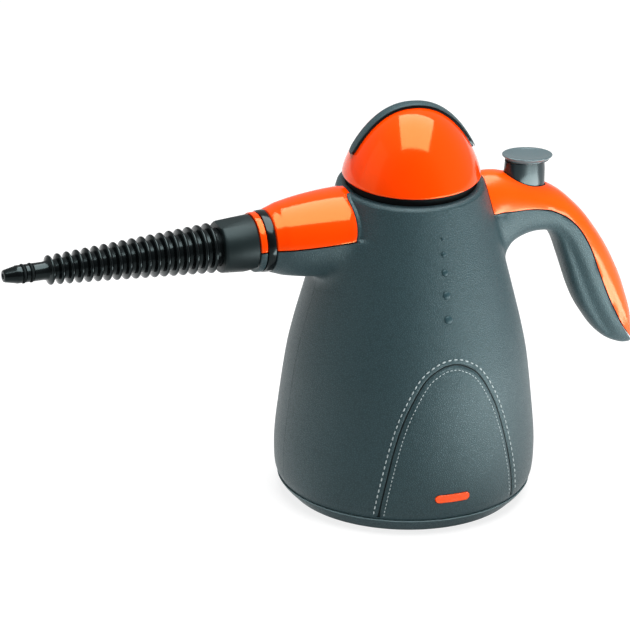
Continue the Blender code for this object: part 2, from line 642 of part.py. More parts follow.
# Steam valve on the tank, its stem and spring, and the pipe to the nozzle.
valve_profile = [
    (2.0, 128.3), (6.2, 128.3), (6.2, 150.0), (1.6, 150.0), (1.6, 146.0), (4.6, 146.0), (4.6, 132.0),
    (2.0, 132.0),
]
valve_body = moved(turned(valve_profile, SMALL_STEPS, ring=True), VALVE_X)
valve_body = finish("valve_body", valve_body, BRASS, 0.3, 1.0)
valve_outlet = rod(1.7, (VALVE_X, 2.0, 139.0), (VALVE_X, 9.0, 139.0))
combine(valve_body, helper("valve_outlet", valve_outlet), "DIFFERENCE")
stem_profile = [
    (0.0, 132.3), (3.9, 132.3), (3.9, 134.3), (1.2, 134.3), (1.2, 163.6), (3.0, 163.6), (3.0, 165.4),
    (0.0, 165.4),
]
valve_stem = moved(turned(stem_profile, SMALL_STEPS), VALVE_X)
finish("valve_stem", valve_stem, STEEL, 0.3, 1.0, (VALVE_X, 0.0, 132.3))
coil("valve_spring", 2.9, 0.45, 134.6, 145.7, 4, (VALVE_X, 0.0, 0.0))


def smooth_route(points, steps):
    """Points on a Catmull-Rom curve through the route's own points."""
    padded = [points[0] * 2 - points[1]] + points + [points[-1] * 2 - points[-2]]
    route = []
    for a, b, c, d in zip(padded, padded[1:], padded[2:], padded[3:]):
        for i in range(steps):
            t = i / steps
            bend = (2 * a - 5 * b + 4 * c - d) * t * t + (3 * b - a - 3 * c + d) * t ** 3
            route.append((2 * b + (c - a) * t + bend) / 2)
    route.append(points[-1])
    return route


PIPE_ROUTE = [
    Vector((VALVE_X, 6.5, 139.0)), Vector((VALVE_X, 12.5, 139.0)), Vector((20.0, 22.0, 141.5)),
    Vector((4.0, 27.0, 147.0)), Vector((-13.0, 24.0, 154.0)), Vector((-27.0, 14.0, 161.5)),
    Vector((-38.0, 4.0, 166.0)), Vector((-46.0, 0.0, NECK_Z)), Vector((-53.0, 0.0, NECK_Z)),
]


def pipe(name, points, radius):
    curve = bpy.data.curves.new(name, "CURVE")
    curve.dimensions = "3D"
    curve.bevel_depth = radius * MM
    curve.bevel_resolution = 2
    curve.use_fill_caps = True
    spline = curve.splines.new("POLY")
    spline.points.add(len(points) - 1)
    for point, place in zip(spline.points, points):
        point.co = (*(place * MM), 1.0)
    curve.materials.append(surface(name, IVORY, 0.45))
    made = bpy.data.objects.new(name, curve)
    made.parent = body_axis
    bpy.context.scene.collection.objects.link(made)
    return made


pipe("steam_pipe", smooth_route(PIPE_ROUTE, 2), 2.6)

# Steam button, its spring, the rocker and the pin it turns on.
button = oval(BUTTON_STEM[0], BUTTON_STEM[1], 175.0, 195.6, BUTTON_X)
button = finish("steam_button", button, SLATE, 0.25, origin=(BUTTON_X, 0.0, 175.0))
disc_profile = [
    (0.0, -3.0), (0.80, -3.0), (0.97, -1.2), (1.0, -0.5), (0.98, 0.0), (0.92, -0.1), (0.6, -0.9),
    (0.0, -1.3),
]
disc = turned(disc_profile, BUTTON_STEPS)
bmesh.ops.scale(disc, verts=disc.verts, vec=(BUTTON_DISC[0], BUTTON_DISC[1], 1.0))
bmesh.ops.rotate(disc, verts=disc.verts, cent=(0, 0, 0), matrix=Matrix.Rotation(BUTTON_TILT, 3, "Y"))
combine(button, helper("button_disc", moved(disc, BUTTON_X + 1.6, 0.0, BUTTON_DISC_Z)), "UNION")
push_rod = rod(1.5, (BUTTON_X, 0.0, ROCKER_Z + 2.4), (BUTTON_X, 0.0, 176.5))
combine(button, helper("button_push_rod", push_rod), "UNION")
coil("button_spring", 5.0, 0.5, SPRING_SHELF_Z + GAP, 174.7, 3, (BUTTON_X, 0.0, 0.0))

lever_outline = [
    (VALVE_X - 3.6, -1.5), (ROCKER_X - 5.0, -1.5), (ROCKER_X - 3.4, -3.6), (ROCKER_X + 3.4, -3.6),
    (ROCKER_X + 5.0, -1.5), (BUTTON_X + 2.4, -1.5), (BUTTON_X + 2.4, 1.2), (ROCKER_X + 5.0, 1.5),
    (ROCKER_X + 3.4, 3.6), (ROCKER_X - 3.4, 3.6), (ROCKER_X - 5.0, 1.5), (VALVE_X - 3.6, 1.5),
]
lever = prism([(x, ROCKER_Z + z) for x, z in lever_outline], -3.2, 3.2)
lever = finish("rocker_lever", lever, IVORY, 0.5, origin=(ROCKER_X, 0.0, ROCKER_Z))
lever_cuts = joined(
    rod(1.9, (ROCKER_X, -6.0, ROCKER_Z), (ROCKER_X, 6.0, ROCKER_Z)),
    block((VALVE_X - 6.0, -1.8, ROCKER_Z - 4.0), (VALVE_X + 1.9, 1.8, ROCKER_Z + 4.0)),
)
combine(lever, helper("lever_cuts", lever_cuts), "DIFFERENCE")
finish("rocker_pin", rod(1.6, (ROCKER_X, -9.6, ROCKER_Z), (ROCKER_X, 9.6, ROCKER_Z)), STEEL, 0.3, 1.0)

# Spout tube with its bayonet lugs, black ring, seal, collar, finned nozzle and tip rings.
spout_profile = [(2.6, -53.3), (6.0, -53.3), (6.0, -58.0), (10.6, -60.0), (10.6, -105.5), (2.6, -105.5)]
spout = finish("spout_tube", along_x(turned(spout_profile, MIDDLE_STEPS, ring=True), NECK_Z), BLACK, 0.5)
lug_left = block((-105.3, -11.6, NECK_Z - 4.0), (-103.0, -9.0, NECK_Z + 4.0))
lug_right = block((-105.3, 9.0, NECK_Z - 4.0), (-103.0, 11.6, NECK_Z + 4.0))
combine(spout, helper("spout_lugs", joined(lug_left, lug_right)), "UNION")
ring_profile = [(15.7, -89.5), (17.9, -89.5), (18.1, -90.2), (18.0, -93.8), (17.7, -94.4), (15.7, -94.4)]
finish("spout_ring", along_x(turned(ring_profile, ROUND_STEPS, ring=True), NECK_Z), BLACK, 0.15)
seal_profile = [(5.6, -105.9), (9.4, -105.9), (9.4, -107.6), (5.6, -107.6)]
seal = along_x(turned(seal_profile, MIDDLE_STEPS, ring=True), NECK_Z)
finish("nozzle_seal", seal, RUBBER, 0.8, origin=(-105.9, 0.0, NECK_Z))

collar_outline = [
    (11.1, COLLAR_NEAR_X), (16.2, COLLAR_NEAR_X), (16.5, COLLAR_NEAR_X - 0.6), (15.1, COLLAR_FAR_X + 0.8),
    (14.5, COLLAR_FAR_X), (11.3, COLLAR_FAR_X), (11.3, -109.0), (12.9, -108.4), (12.9, -102.2),
    (11.1, -102.0),
]
nozzle_origin = (COLLAR_NEAR_X, 0.0, NECK_Z)
collar = along_x(turned(collar_outline, ROUND_STEPS, ring=True), NECK_Z)
collar = finish("nozzle_collar", collar, BLACK, 0.5, origin=nozzle_origin)
entry_slots = helper("entry_slots", block((-103.0, -14.4, NECK_Z - 4.6), (-98.0, 14.4, NECK_Z + 4.6)))
slot_limit = along_x(turned([(0.0, -104.0), (12.9, -104.0), (12.9, -97.0), (0.0, -97.0)]), NECK_Z)
combine(entry_slots, helper("slot_limit", slot_limit), "INTERSECT")
combine(collar, entry_slots, "DIFFERENCE")

rib_step = (RIB_LAST_X - RIB_FIRST_X) / (RIB_COUNT - 1)
ribs = []
for k in range(RIB_COUNT):
    middle = RIB_FIRST_X + rib_step * k
    share = k / (RIB_COUNT - 1)
    crest = RIB_CREST[0] + (RIB_CREST[1] - RIB_CREST[0]) * share
    root = RIB_ROOT[0] + (RIB_ROOT[1] - RIB_ROOT[0]) * share
    ribs += [(root, middle + 2.2), (crest, middle + 0.8), (crest, middle - 0.8)]
nozzle_profile = [(1.5, -108.0), (11.0, -108.0), (11.0, -119.8)] + ribs + [
    (5.3, -228.0), (5.3, -233.0), (4.7, -233.1), (4.7, -235.2), (5.3, -235.3), (5.3, -237.8), (4.7, -237.9),
    (4.7, -240.0), (5.3, -240.1), (5.3, -243.2), (3.5, TIP_X + 0.4), (3.1, TIP_X), (1.5, TIP_X),
]
nozzle = along_x(turned(nozzle_profile, NOZZLE_STEPS, ring=True), NECK_Z)
finish("finned_nozzle", nozzle, BLACK, 0.3, origin=nozzle_origin)
for k, start in enumerate((-233.3, -238.1), start=1):
    tip_ring = [(5.0, start), (5.7, start - 0.3), (5.7, start - 1.4), (5.0, start - 1.7)]
    ring = along_x(turned(tip_ring, NOZZLE_STEPS, ring=True), NECK_Z)
    finish(f"tip_ring_{k}", ring, RUBBER, 0.6, origin=nozzle_origin)

# Pilot lamp, its holder, the cord gland and the terminal block.
lens = pill(LAMP_HALF_WIDTH - 0.1, LAMP_HALF_HEIGHT - 0.1, -75.6, -71.0, LAMP_Z)
lens_form = helper("lens_curve", body_form(0.25))
lens = finish("lamp_lens", lens, LAMP_ORANGE, 0.2)
combine(lens, lens_form, "INTERSECT")
lamp_holder = block((-8.0, -70.6, LAMP_Z - 4.0), (8.0, -63.0, LAMP_Z + 4.0))
finish("lamp_holder", lamp_holder, IVORY, 0.5)
gland_profile = [(0.0, 64.0), (8.0, 64.0), (8.0, 68.0), (4.4, 69.0), (4.4, 77.4), (4.0, 78.6), (2.6, 78.6)]
gland_profile += [(2.6, 71.0), (0.0, 71.0)]
finish("cord_gland", along_x(turned(gland_profile, SMALL_STEPS), GLAND_Z), RUBBER, 0.7)
finish("terminal_block", block((46.0, -8.0, 3.5), (56.0, 8.0, 13.0)), IVORY, 0.5)
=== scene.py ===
"""The finished surfaces of a handheld steam cleaner, built around its packed construction model.

Every size here is a real one. Shapes are made in millimetres about the axis of the round housing: X runs
from the nozzle (-X) to the handle (+X), Y to the rear shell and Z up. place() then turns a shape into
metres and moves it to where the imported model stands.
"""

import math

import bmesh
import bpy
from bpy.props import FloatProperty, FloatVectorProperty, IntProperty, PointerProperty
from mathutils import Matrix, Vector
from mathutils.bvhtree import BVHTree


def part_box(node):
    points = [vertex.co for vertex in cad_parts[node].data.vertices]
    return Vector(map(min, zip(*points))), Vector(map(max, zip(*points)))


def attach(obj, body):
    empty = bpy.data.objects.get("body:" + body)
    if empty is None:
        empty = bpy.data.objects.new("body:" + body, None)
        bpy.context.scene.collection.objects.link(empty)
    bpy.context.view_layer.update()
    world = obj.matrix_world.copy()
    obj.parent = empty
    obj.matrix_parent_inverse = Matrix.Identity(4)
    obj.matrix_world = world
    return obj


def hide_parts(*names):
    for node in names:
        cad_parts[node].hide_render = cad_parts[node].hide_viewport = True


bl_info = {
    "name": "Handheld Steam Cleaner",
    "version": (1, 0, 0),
    "blender": (4, 5, 0),
    "location": "View3D > Sidebar > Steam Cleaner",
    "description": "Builds the housing, cap, nozzle, handle and fittings of a handheld steam cleaner",
    "category": "Object",
}

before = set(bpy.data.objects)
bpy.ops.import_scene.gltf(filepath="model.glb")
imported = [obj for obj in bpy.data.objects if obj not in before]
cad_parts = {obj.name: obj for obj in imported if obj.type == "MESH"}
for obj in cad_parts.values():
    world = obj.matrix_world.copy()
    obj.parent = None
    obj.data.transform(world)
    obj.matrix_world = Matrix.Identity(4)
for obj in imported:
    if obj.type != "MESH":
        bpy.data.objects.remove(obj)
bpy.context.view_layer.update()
MM = 0.001
DOME_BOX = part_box("cap_dome")
AXIS_X = (DOME_BOX[0].x + DOME_BOX[1].x) / 2

# The round housing: outer radius and height, from the seam with the base up to the shoulder.
BODY_LINE = [
    (71.9, 9.8), (72.4, 10.5), (74.3, 15.0), (75.1, 23.0), (75.1, 35.0), (73.6, 52.0), (70.0, 82.7),
    (66.5, 101.0), (61.9, 119.7), (55.3, 145.0), (49.0, 168.0), (43.5, 188.0),
]
SHOULDER_LINE = [(42.9, 189.9), (42.1, 191.0), (40.9, 191.8), (39.6, 192.0), (38.4, 192.0)]
TOP_Z = 192.0
WALL = 2.4
MOUTH_RADIUS = 38.0
SHELL_GAP = 0.24
NECK_FILLET = 8.0
HANDLE_FILLET = 5.0

# The neck that carries the nozzle: x and radius about its own axis, and the plane where its cover begins.
NECK_Z = 166.9
NECK_FLANGE = [(-98.6, 16.9), (-98.3, 17.3), (-95.2, 17.5), (-94.9, 17.2), (-94.7, 15.4), (-89.2, 15.4)]
NECK_LINE = [
    (-89.0, 18.2), (-88.5, 18.6), (-85.0, 19.8), (-80.0, 21.4), (-65.0, 24.0), (-46.0, 25.6), (-20.0, 25.8),
]
NECK_BORE = 11.0
NECK_COVER_SETBACK = 1.5
PARTING_Z = 167.2
PARTING_RISE = 0.052
PARTING_FROM_X = -89.0

# The handle: outer point and inner point (x, z in its plane of symmetry) and half width along y. It is
# hollow along the first stations, and above its crease height it meets the housing in a sharp edge.
HANDLE_STATIONS = [
    ((36.0, 191.3), (42.0, 126.0), 15.2), ((50.0, 191.2), (56.0, 138.8), 14.8),
    ((60.0, 188.8), (62.0, 146.6), 14.5), ((72.4, 184.6), (70.0, 150.8), 14.5),
    ((85.2, 178.6), (78.2, 152.0), 14.5), ((94.8, 172.1), (84.4, 150.6), 14.5),
    ((105.9, 160.7), (89.3, 143.8), 14.5), ((114.3, 149.1), (93.1, 133.2), 14.5),
    ((121.1, 138.0), (96.6, 122.7), 14.4), ((126.5, 127.3), (100.1, 112.3), 14.1),
    ((131.2, 116.4), (104.3, 102.4), 13.6), ((134.8, 105.7), (109.4, 93.8), 12.8),
    ((138.0, 95.0), (115.6, 84.9), 11.4), ((139.9, 85.0), (123.4, 77.6), 9.0),
    ((140.7, 77.3), (131.8, 73.4), 5.6), ((140.7, 73.2), (138.0, 72.0), 2.2),
]
HOLLOW_STATIONS = 13
HANDLE_CREASE_Z = 168.5
HANDLE_POWER = 2.4
HANDLE_PARTING = [
    (20.0, 169.8), (45.0, 170.0), (64.6, 170.1), (73.3, 169.5), (81.9, 167.5), (89.5, 163.7), (96.2, 158.4),
    (101.8, 151.7), (106.3, 144.0), (109.8, 136.0), (114.5, 123.3), (120.4, 108.4), (126.1, 96.7),
    (131.9, 86.0), (142.0, 72.0),
]

# The dark seams round the covers, with a black strip sunk in the handle's as painted shade in its gap, and
# the rounding of moulded edges.
SEAM = 0.9
SHADE_STRIP_INSET = 1.3
SHADE_STRIP_PLAY = 0.05
EDGE_ROUND = 0.35

# The cap's dome: powers of its outline, over the radius and over the height, and how far it is turned.
CAP_RADIUS_POWER = 2.22
CAP_HEIGHT_POWER = 1.26
CAP_TURNED = math.radians(-8.9)
CAP_WALL = 2.2

# The seam that runs as an arch over the lower front: height against angle to either side of its middle.
ARCH_LINE = [
    (103.3, 0.0), (102.2, 5.0), (98.4, 11.0), (94.0, 14.8), (89.0, 17.5), (84.0, 19.7), (74.0, 23.4),
    (64.0, 26.1), (54.0, 28.2), (44.0, 29.9), (34.0, 31.4), (24.0, 32.9), (10.6, 34.8),
]
ARCH_MIDDLE = 1.3
ARCH_FOOT_Z = 10.6

# The rows of stitches beside it: side, then length and pitch, and thickness, as shares of the left row's.
STITCH_ROWS = ((-1, 1.0, 1.0), (1, 0.68, 0.6))
STITCH_RADIUS = 0.42

# The studs over the arch: height and radius.
STUDS = ((174.3, 0.7), (165.8, 1.5), (155.4, 1.95), (142.7, 2.3), (128.9, 2.5))
STUD_HEIGHT = 1.1

# The steam button: its axis, the half sizes of its well, stem and disc, and where the dished disc sits.
BUTTON_X = 70.6
BUTTON_WELL = (12.9, 9.1)
BUTTON_STEM = (12.4, 8.6)
BUTTON_DISC = (15.3, 10.4)
DISC_PLACE = (72.2, 0.0, 199.0)
DISC_TILT = math.radians(4.5)
STEM_TOP_Z = 195.7

# The lamp's lens with its half sizes and the gap round it, the cord gland, the screws and the feet.
LAMP_Z = 23.8
LAMP_HALF = (10.6, 2.4)
LAMP_GAP = 0.3
GLAND_Z = 24.0
GLAND_HOLE = 4.8
SHELL_SCREWS = [(-62.0, 151.5), (88.5, 157.0), (104.0, 126.0), (119.5, 94.0)]
SHELL_SCREW_SEAT_Y = 8.6
BASE_SCREW_ANGLES = (15.0, 165.0, 195.0, 345.0)
BASE_SCREW_SEAT_Z = 4.3
FOOT_ANGLES = (45.0, 135.0, 225.0, 315.0)
SCREW_CIRCLE = 55.0

# The photograph's view: degrees from the front, degrees up, how far the camera leans, the lens in
# millimetres, the camera's distance in metres, the height that it aims at and how far the middle of the
# picture lies to the right and up from there.
VIEW_AZIMUTH = -22.5
VIEW_ELEVATION = 23.6
VIEW_LEAN = 1.5
VIEW_LENS = 890.8
VIEW_DISTANCE = 9.0
VIEW_HEIGHT = 0.110
VIEW_RIGHT = -0.05327
VIEW_UP = -0.00367

# Tints of the highlights: none, cool on the slate, grey and black plastics, and warm on the orange ones.
NEUTRAL_GLINT = (1.0, 1.0, 1.0)
COOL_GLINT = (0.75, 0.98, 1.0)
WARM_GLINT = (1.0, 0.75, 0.25)
AMBER_GLINT = (1.0, 0.8, 0.5)


def smooth_line(points, steps):
    """A Catmull-Rom line through the given points, with so many steps from each to the next."""
    points = [Vector(point) for point in points]
    ends = [points[0] * 2 - points[1]] + points + [points[-1] * 2 - points[-2]]
    line = []
    for a, b, c, d in zip(ends, ends[1:], ends[2:], ends[3:]):
        for i in range(steps):
            t = i / steps
            bend = (2 * a - 5 * b + 4 * c - d) * t * t + (3 * b - a - 3 * c + d) * t ** 3
            line.append((2 * b + (c - a) * t + bend) / 2)
    return line + [points[-1]]


def turned(points, steps=144, ring=False):
    """A line of (radius, height) points spun about Z. A ring is a closed line that stays off the axis."""
    bm = bmesh.new()
    verts = [bm.verts.new((radius, 0.0, height)) for radius, height in points]
    edges = [bm.edges.new(pair) for pair in zip(verts, verts[1:])]
    if ring:
        edges.append(bm.edges.new((verts[-1], verts[0])))
    bmesh.ops.spin(
        bm, geom=verts + edges, cent=(0, 0, 0), axis=(0, 0, 1), angle=2 * math.pi, steps=steps, use_merge=True
    )
    bmesh.ops.remove_doubles(bm, verts=bm.verts, dist=0.001)
    bmesh.ops.recalc_face_normals(bm, faces=bm.faces)
    return bm


def rod(radius, low, high, steps=48):
    """A plain round rod along Z."""
    return turned([(0.0, low), (radius, low), (radius, high), (0.0, high)], steps)


def moved(bm, x=0.0, y=0.0, z=0.0):
    bmesh.ops.translate(bm, verts=bm.verts, vec=(x, y, z))
    return bm


def spun(bm, angle, axis):
    bmesh.ops.rotate(bm, verts=bm.verts, cent=(0, 0, 0), matrix=Matrix.Rotation(angle, 3, axis))
    return bm


def scaled(bm, factors):
    bmesh.ops.scale(bm, verts=bm.verts, vec=factors)
    return bm


def along_x(bm, z=NECK_Z):
    """Lays a shape turned about Z along X, so that its heights become x."""
    return moved(spun(bm, math.pi / 2, "Y"), z=z)


def oval(half_sizes, low, high, centre_x):
    return moved(scaled(rod(1.0, low, high, 64), (*half_sizes, 1.0)), centre_x)


def block(low, high):
    bm = bmesh.new()
    bmesh.ops.create_cube(bm, size=1.0)
    return moved(scaled(bm, Vector(high) - Vector(low)), *(Vector(high) + Vector(low)) / 2)


def prism(outline, y_low, y_high):
    """An outline of (x, z) points extruded along Y."""
    bm = bmesh.new()
    face = bm.faces.new([bm.verts.new((x, y_low, z)) for x, z in outline])
    pulled = bmesh.ops.extrude_face_region(bm, geom=[face])
    far_side = [item for item in pulled["geom"] if isinstance(item, bmesh.types.BMVert)]
    bmesh.ops.translate(bm, verts=far_side, vec=(0.0, y_high - y_low, 0.0))
    bmesh.ops.recalc_face_normals(bm, faces=bm.faces)
    return bm


def lofted(rings):
    """Bridges rings of points into one closed skin."""
    bm = bmesh.new()
    loops = []
    for ring in rings:
        verts = [bm.verts.new(point) for point in ring]
        loops.append([bm.edges.new((verts[i - 1], verts[i])) for i in range(len(verts))])
    for first, second in zip(loops, loops[1:]):
        bmesh.ops.bridge_loops(bm, edges=first + second)
    bmesh.ops.holes_fill(bm, edges=loops[0])
    bmesh.ops.holes_fill(bm, edges=loops[-1])
    bmesh.ops.recalc_face_normals(bm, faces=bm.faces)
    return bm


def mesh_of(bm, name="shape"):
    """A mesh of a shape, which is used up."""
    mesh = bpy.data.meshes.new(name)
    bm.to_mesh(mesh)
    bm.free()
    return mesh


def object_of(data, name="shape"):
    holder = bpy.data.objects.new(name, data)
    bpy.context.scene.collection.objects.link(holder)
    return holder


def shape_of(holder):
    """The shape of an object with its modifiers on."""
    bpy.context.view_layer.update()
    mesh = bpy.data.meshes.new_from_object(holder.evaluated_get(bpy.context.evaluated_depsgraph_get()))
    bm = bmesh.new()
    bm.from_mesh(mesh)
    bpy.data.meshes.remove(mesh)
    return bm


def joined(*parts):
    """Several shapes in one mesh, without merging them."""
    whole = bmesh.new()
    for part in parts:
        mesh = mesh_of(part)
        whole.from_mesh(mesh)
        bpy.data.meshes.remove(mesh)
    return whole


def boolean(first, second, operation):
    """Cuts, joins or intersects two closed shapes. Both are used up."""
    holders = [object_of(mesh_of(bm)) for bm in (first, second)]
    modifier = holders[0].modifiers.new("shape", "BOOLEAN")
    modifier.operation = operation
    modifier.solver = "EXACT"
    modifier.object = holders[1]
    made = shape_of(holders[0])
    for holder in holders:
        bpy.data.meshes.remove(holder.data)
    bmesh.ops.remove_doubles(made, verts=made.verts, dist=0.002)
    bmesh.ops.dissolve_degenerate(made, edges=made.edges, dist=0.001)
    return made


def cut(bm, *tools):
    """A shape with the others cut out of it, one after the other."""
    for tool in tools:
        bm = boolean(bm, tool, "DIFFERENCE")
    return bm


def united(bm, *others):
    for other in others:
        bm = boolean(bm, other, "UNION")
    return bm


def shared(first, second):
    return boolean(first, second, "INTERSECT")


def tube(points, radius, sides=2):
    """A round tube along a line of points, with closed ends."""
    curve = bpy.data.curves.new("line", "CURVE")
    curve.dimensions = "3D"
    curve.bevel_depth = radius
    curve.bevel_resolution = sides
    curve.use_fill_caps = True
    spline = curve.splines.new("POLY")
    spline.points.add(len(points) - 1)
    for point, spot in zip(spline.points, points):
        point.co = (*spot, 1.0)
    bm = shape_of(object_of(curve))
    bpy.data.curves.remove(curve)
    bmesh.ops.remove_doubles(bm, verts=bm.verts, dist=0.001)
    bmesh.ops.recalc_face_normals(bm, faces=bm.faces)
    return bm


def rounded(bm, width=EDGE_ROUND, angle=40.0, segments=2):
    """Rounds the edges that are sharper than an angle."""
    bmesh.ops.remove_doubles(bm, verts=bm.verts, dist=width / 4)
    bmesh.ops.dissolve_degenerate(bm, edges=bm.edges, dist=width / 8)
    sharp = []
    for edge in bm.edges:
        if len(edge.link_faces) == 2 and edge.calc_face_angle() > math.radians(angle):
            sharp.append(edge)
    bmesh.ops.bevel(
        bm, geom=sharp, offset=width, offset_type="OFFSET", affect="EDGES", segments=segments, profile=0.5,
        material=-1, clamp_overlap=True,
    )
    return bm


def fillet(bm, first, second, width, keep):
    """Swells the crease where two forms meet into a soft hollow, except where keep says to leave it sharp."""
    trees = [BVHTree.FromBMesh(form) for form in (first, second)]

    def reach(spot):
        return [tree.find_nearest(spot) for tree in trees]

    for _ in range(2):
        near = []
        for edge in bm.edges:
            middle = (edge.verts[0].co + edge.verts[1].co) / 2
            if edge.calc_length() > 1.3 and max(hit[3] for hit in reach(middle)) < width * 1.3:
                near.append(edge)
        bmesh.ops.subdivide_edges(bm, edges=near, cuts=1, use_grid_fill=True)
        bmesh.ops.triangulate(bm, faces=[face for face in bm.faces if len(face.verts) > 4])
    touched = []
    for vert in bm.verts:
        if keep(vert.co):
            continue
        hits = reach(vert.co)
        apart = max(hit[3] for hit in hits)
        if apart >= width:
            continue
        share = 1 - apart / width
        here, there = sorted(hits, key=lambda hit: hit[3])
        slope = here[1] * (1 - share / 2) + there[1] * (share / 2)
        touched.append((vert, slope * (share * share * width / 4) / slope.length_squared))
    for vert, step in touched:
        vert.co += step
    verts = [vert for vert, _ in touched]
    for _ in range(3):
        bmesh.ops.smooth_vert(bm, verts=verts, factor=0.5, use_axis_x=True, use_axis_y=True, use_axis_z=True)
    return bm


def place(name, bm, finishes, body, replaces=()):
    """Turns a shape into a piece on its body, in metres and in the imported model's place.

    The finishes are named in one string, in the order of the material indices.
    """
    bmesh.ops.recalc_face_normals(bm, faces=bm.faces)
    moved(bm, x=AXIS_X / MM)
    mesh = mesh_of(scaled(bm, (MM, MM, MM)), name)
    mesh.shade_smooth()
    mesh.set_sharp_from_angle(angle=math.radians(35.0))
    for finish_name in finishes.split():
        mesh.materials.append(finish(finish_name))
    piece = object_of(mesh, name)
    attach(piece, body)
    if replaces:
        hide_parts(*replaces)


def linear(hex_colour):
    """An sRGB hex colour as linear red, green, blue and alpha."""
    values = [int(hex_colour[i:i + 2], 16) / 255 for i in (1, 3, 5)]
    return tuple(v / 12.92 if v <= 0.04045 else ((v + 0.055) / 1.055) ** 2.4 for v in values) + (1.0,)


def shade(colour, share):
    """A linear colour made lighter or darker."""
    return tuple(min(1.0, c * share) for c in colour[:3]) + (1.0,)


def node(tree, kind, inputs, **settings):
    """Adds a shader node. Each input is a value, or another node's socket to link from."""
    made = tree.nodes.new("ShaderNode" + kind)
    for key, value in settings.items():
        setattr(made, key, value)
    for key, value in inputs.items():
        if isinstance(value, bpy.types.NodeSocket):
            tree.links.new(value, made.inputs[key])
        else:
            made.inputs[key].default_value = value
    return made


def surface(name, roughness, ior=1.5, metallic=0.0, glint=NEUTRAL_GLINT):
    """A new Principled material, with the constants that belong on the shader's own sockets."""
    material = bpy.data.materials.new(name)
    material.use_nodes = True
    shader = material.node_tree.nodes["Principled BSDF"]
    shader.inputs["Roughness"].default_value = roughness
    shader.inputs["IOR"].default_value = ior
    shader.inputs["Metallic"].default_value = metallic
    shader.inputs["Specular Tint"].default_value = (*glint, 1.0)
    return material, material.node_tree, shader


def patterned(tree, shader, share, low, high, bump, roughness=None):
    """Runs a surface's colour, and its roughness where two are given, by a pattern, and adds its relief."""
    tinted = node(tree, "Mix", {"Factor": share, "A": low, "B": high}, data_type="RGBA")
    tree.links.new(tinted.outputs[2], shader.inputs["Base Color"])
    tree.links.new(bump.outputs[0], shader.inputs["Normal"])
    if roughness:
        rough = node(tree, "MapRange", {"Value": share, "To Min": roughness[0], "To Max": roughness[1]})
        tree.links.new(rough.outputs[0], shader.inputs["Roughness"])


def grain_coordinates(tree, wander, wander_size):
    """Object coordinates with a little drift, so that a pattern doesn't look ruled."""
    where = node(tree, "TexCoord", {}).outputs["Object"]
    drift = node(tree, "TexNoise", {"Vector": where, "Scale": 1 / wander_size, "Detail": 2.0})
    centred = node(tree, "VectorMath", {0: drift.outputs["Color"], 1: (0.5, 0.5, 0.5)}, operation="SUBTRACT")
    small = node(tree, "VectorMath", {0: centred.outputs[0], "Scale": wander}, operation="SCALE")
    return node(tree, "VectorMath", {0: where, 1: small.outputs[0]}, operation="ADD").outputs[0]


def leather_grain_plastic(name, colour):
    """Slate ABS moulded against a leather-grained tool: small soft pebbles that scatter the highlights."""
    material, tree, shader = surface(name, 0.5, ior=1.52, glint=COOL_GLINT)
    where = grain_coordinates(tree, 0.6 * MM, 4 * MM)
    pebbles = node(
        tree, "TexVoronoi", {"Vector": where, "Scale": 1 / (1.15 * MM)}, feature="DISTANCE_TO_EDGE"
    )
    fine = node(tree, "TexNoise", {"Vector": where, "Scale": 1 / (0.5 * MM), "Detail": 3.0})
    broad = node(tree, "TexNoise", {"Vector": where, "Scale": 1 / (30 * MM), "Detail": 2.0})
    crowns = node(
        tree, "MapRange", {"Value": pebbles.outputs["Distance"], "From Max": 0.30, "To Max": 1.0},
        interpolation_type="SMOOTHSTEP",
    )
    mixed = {"Factor": 0.3, "A": crowns.outputs[0], "B": fine.outputs["Fac"]}
    height = node(tree, "Mix", mixed, data_type="FLOAT").outputs[0]
    bump = node(tree, "Bump", {"Strength": 0.8, "Distance": 0.15 * MM, "Height": height})
    # Darker in the pebbles' hollows and lighter on their crowns: painted shade and light of the grain's
    # relief.
    shades = {"Factor": height, "A": shade(colour, 0.66), "B": shade(colour, 1.32)}
    grain_shaded = node(tree, "Mix", shades, data_type="RGBA").outputs[2]
    shift = node(tree, "MapRange", {"Value": broad.outputs["Fac"], "To Min": 0.94, "To Max": 1.06})
    tinted = node(tree, "VectorMath", {0: grain_shaded, "Scale": shift.outputs[0]}, operation="SCALE")
    rough = node(tree, "MapRange", {"Value": height, "To Min": 0.54, "To Max": 0.38})
    tree.links.new(tinted.outputs[0], shader.inputs["Base Color"])
    tree.links.new(rough.outputs[0], shader.inputs["Roughness"])
    tree.links.new(bump.outputs[0], shader.inputs["Normal"])
    return material


def polished_plastic(name, colour, roughness=0.1, tint=0.03, ior=1.6, glint=COOL_GLINT):
    """ABS from a polished tool: a mirror-like skin with faint flow in its colour and very slight waviness."""
    material, tree, shader = surface(name, roughness, ior=ior, glint=glint)
    where = grain_coordinates(tree, 2 * MM, 30 * MM)
    flow = node(tree, "TexNoise", {"Vector": where, "Scale": 1 / (20 * MM), "Detail": 3.0}).outputs["Fac"]
    wave = node(tree, "TexNoise", {"Vector": where, "Scale": 1 / (6 * MM), "Detail": 1.0})
    bump = node(tree, "Bump", {"Strength": 0.12, "Distance": 0.02 * MM, "Height": wave.outputs["Fac"]})
    low, high = shade(colour, 1 - tint), shade(colour, 1 + tint)
    patterned(tree, shader, flow, low, high, bump, (roughness * 0.85, roughness * 1.25))
    return material


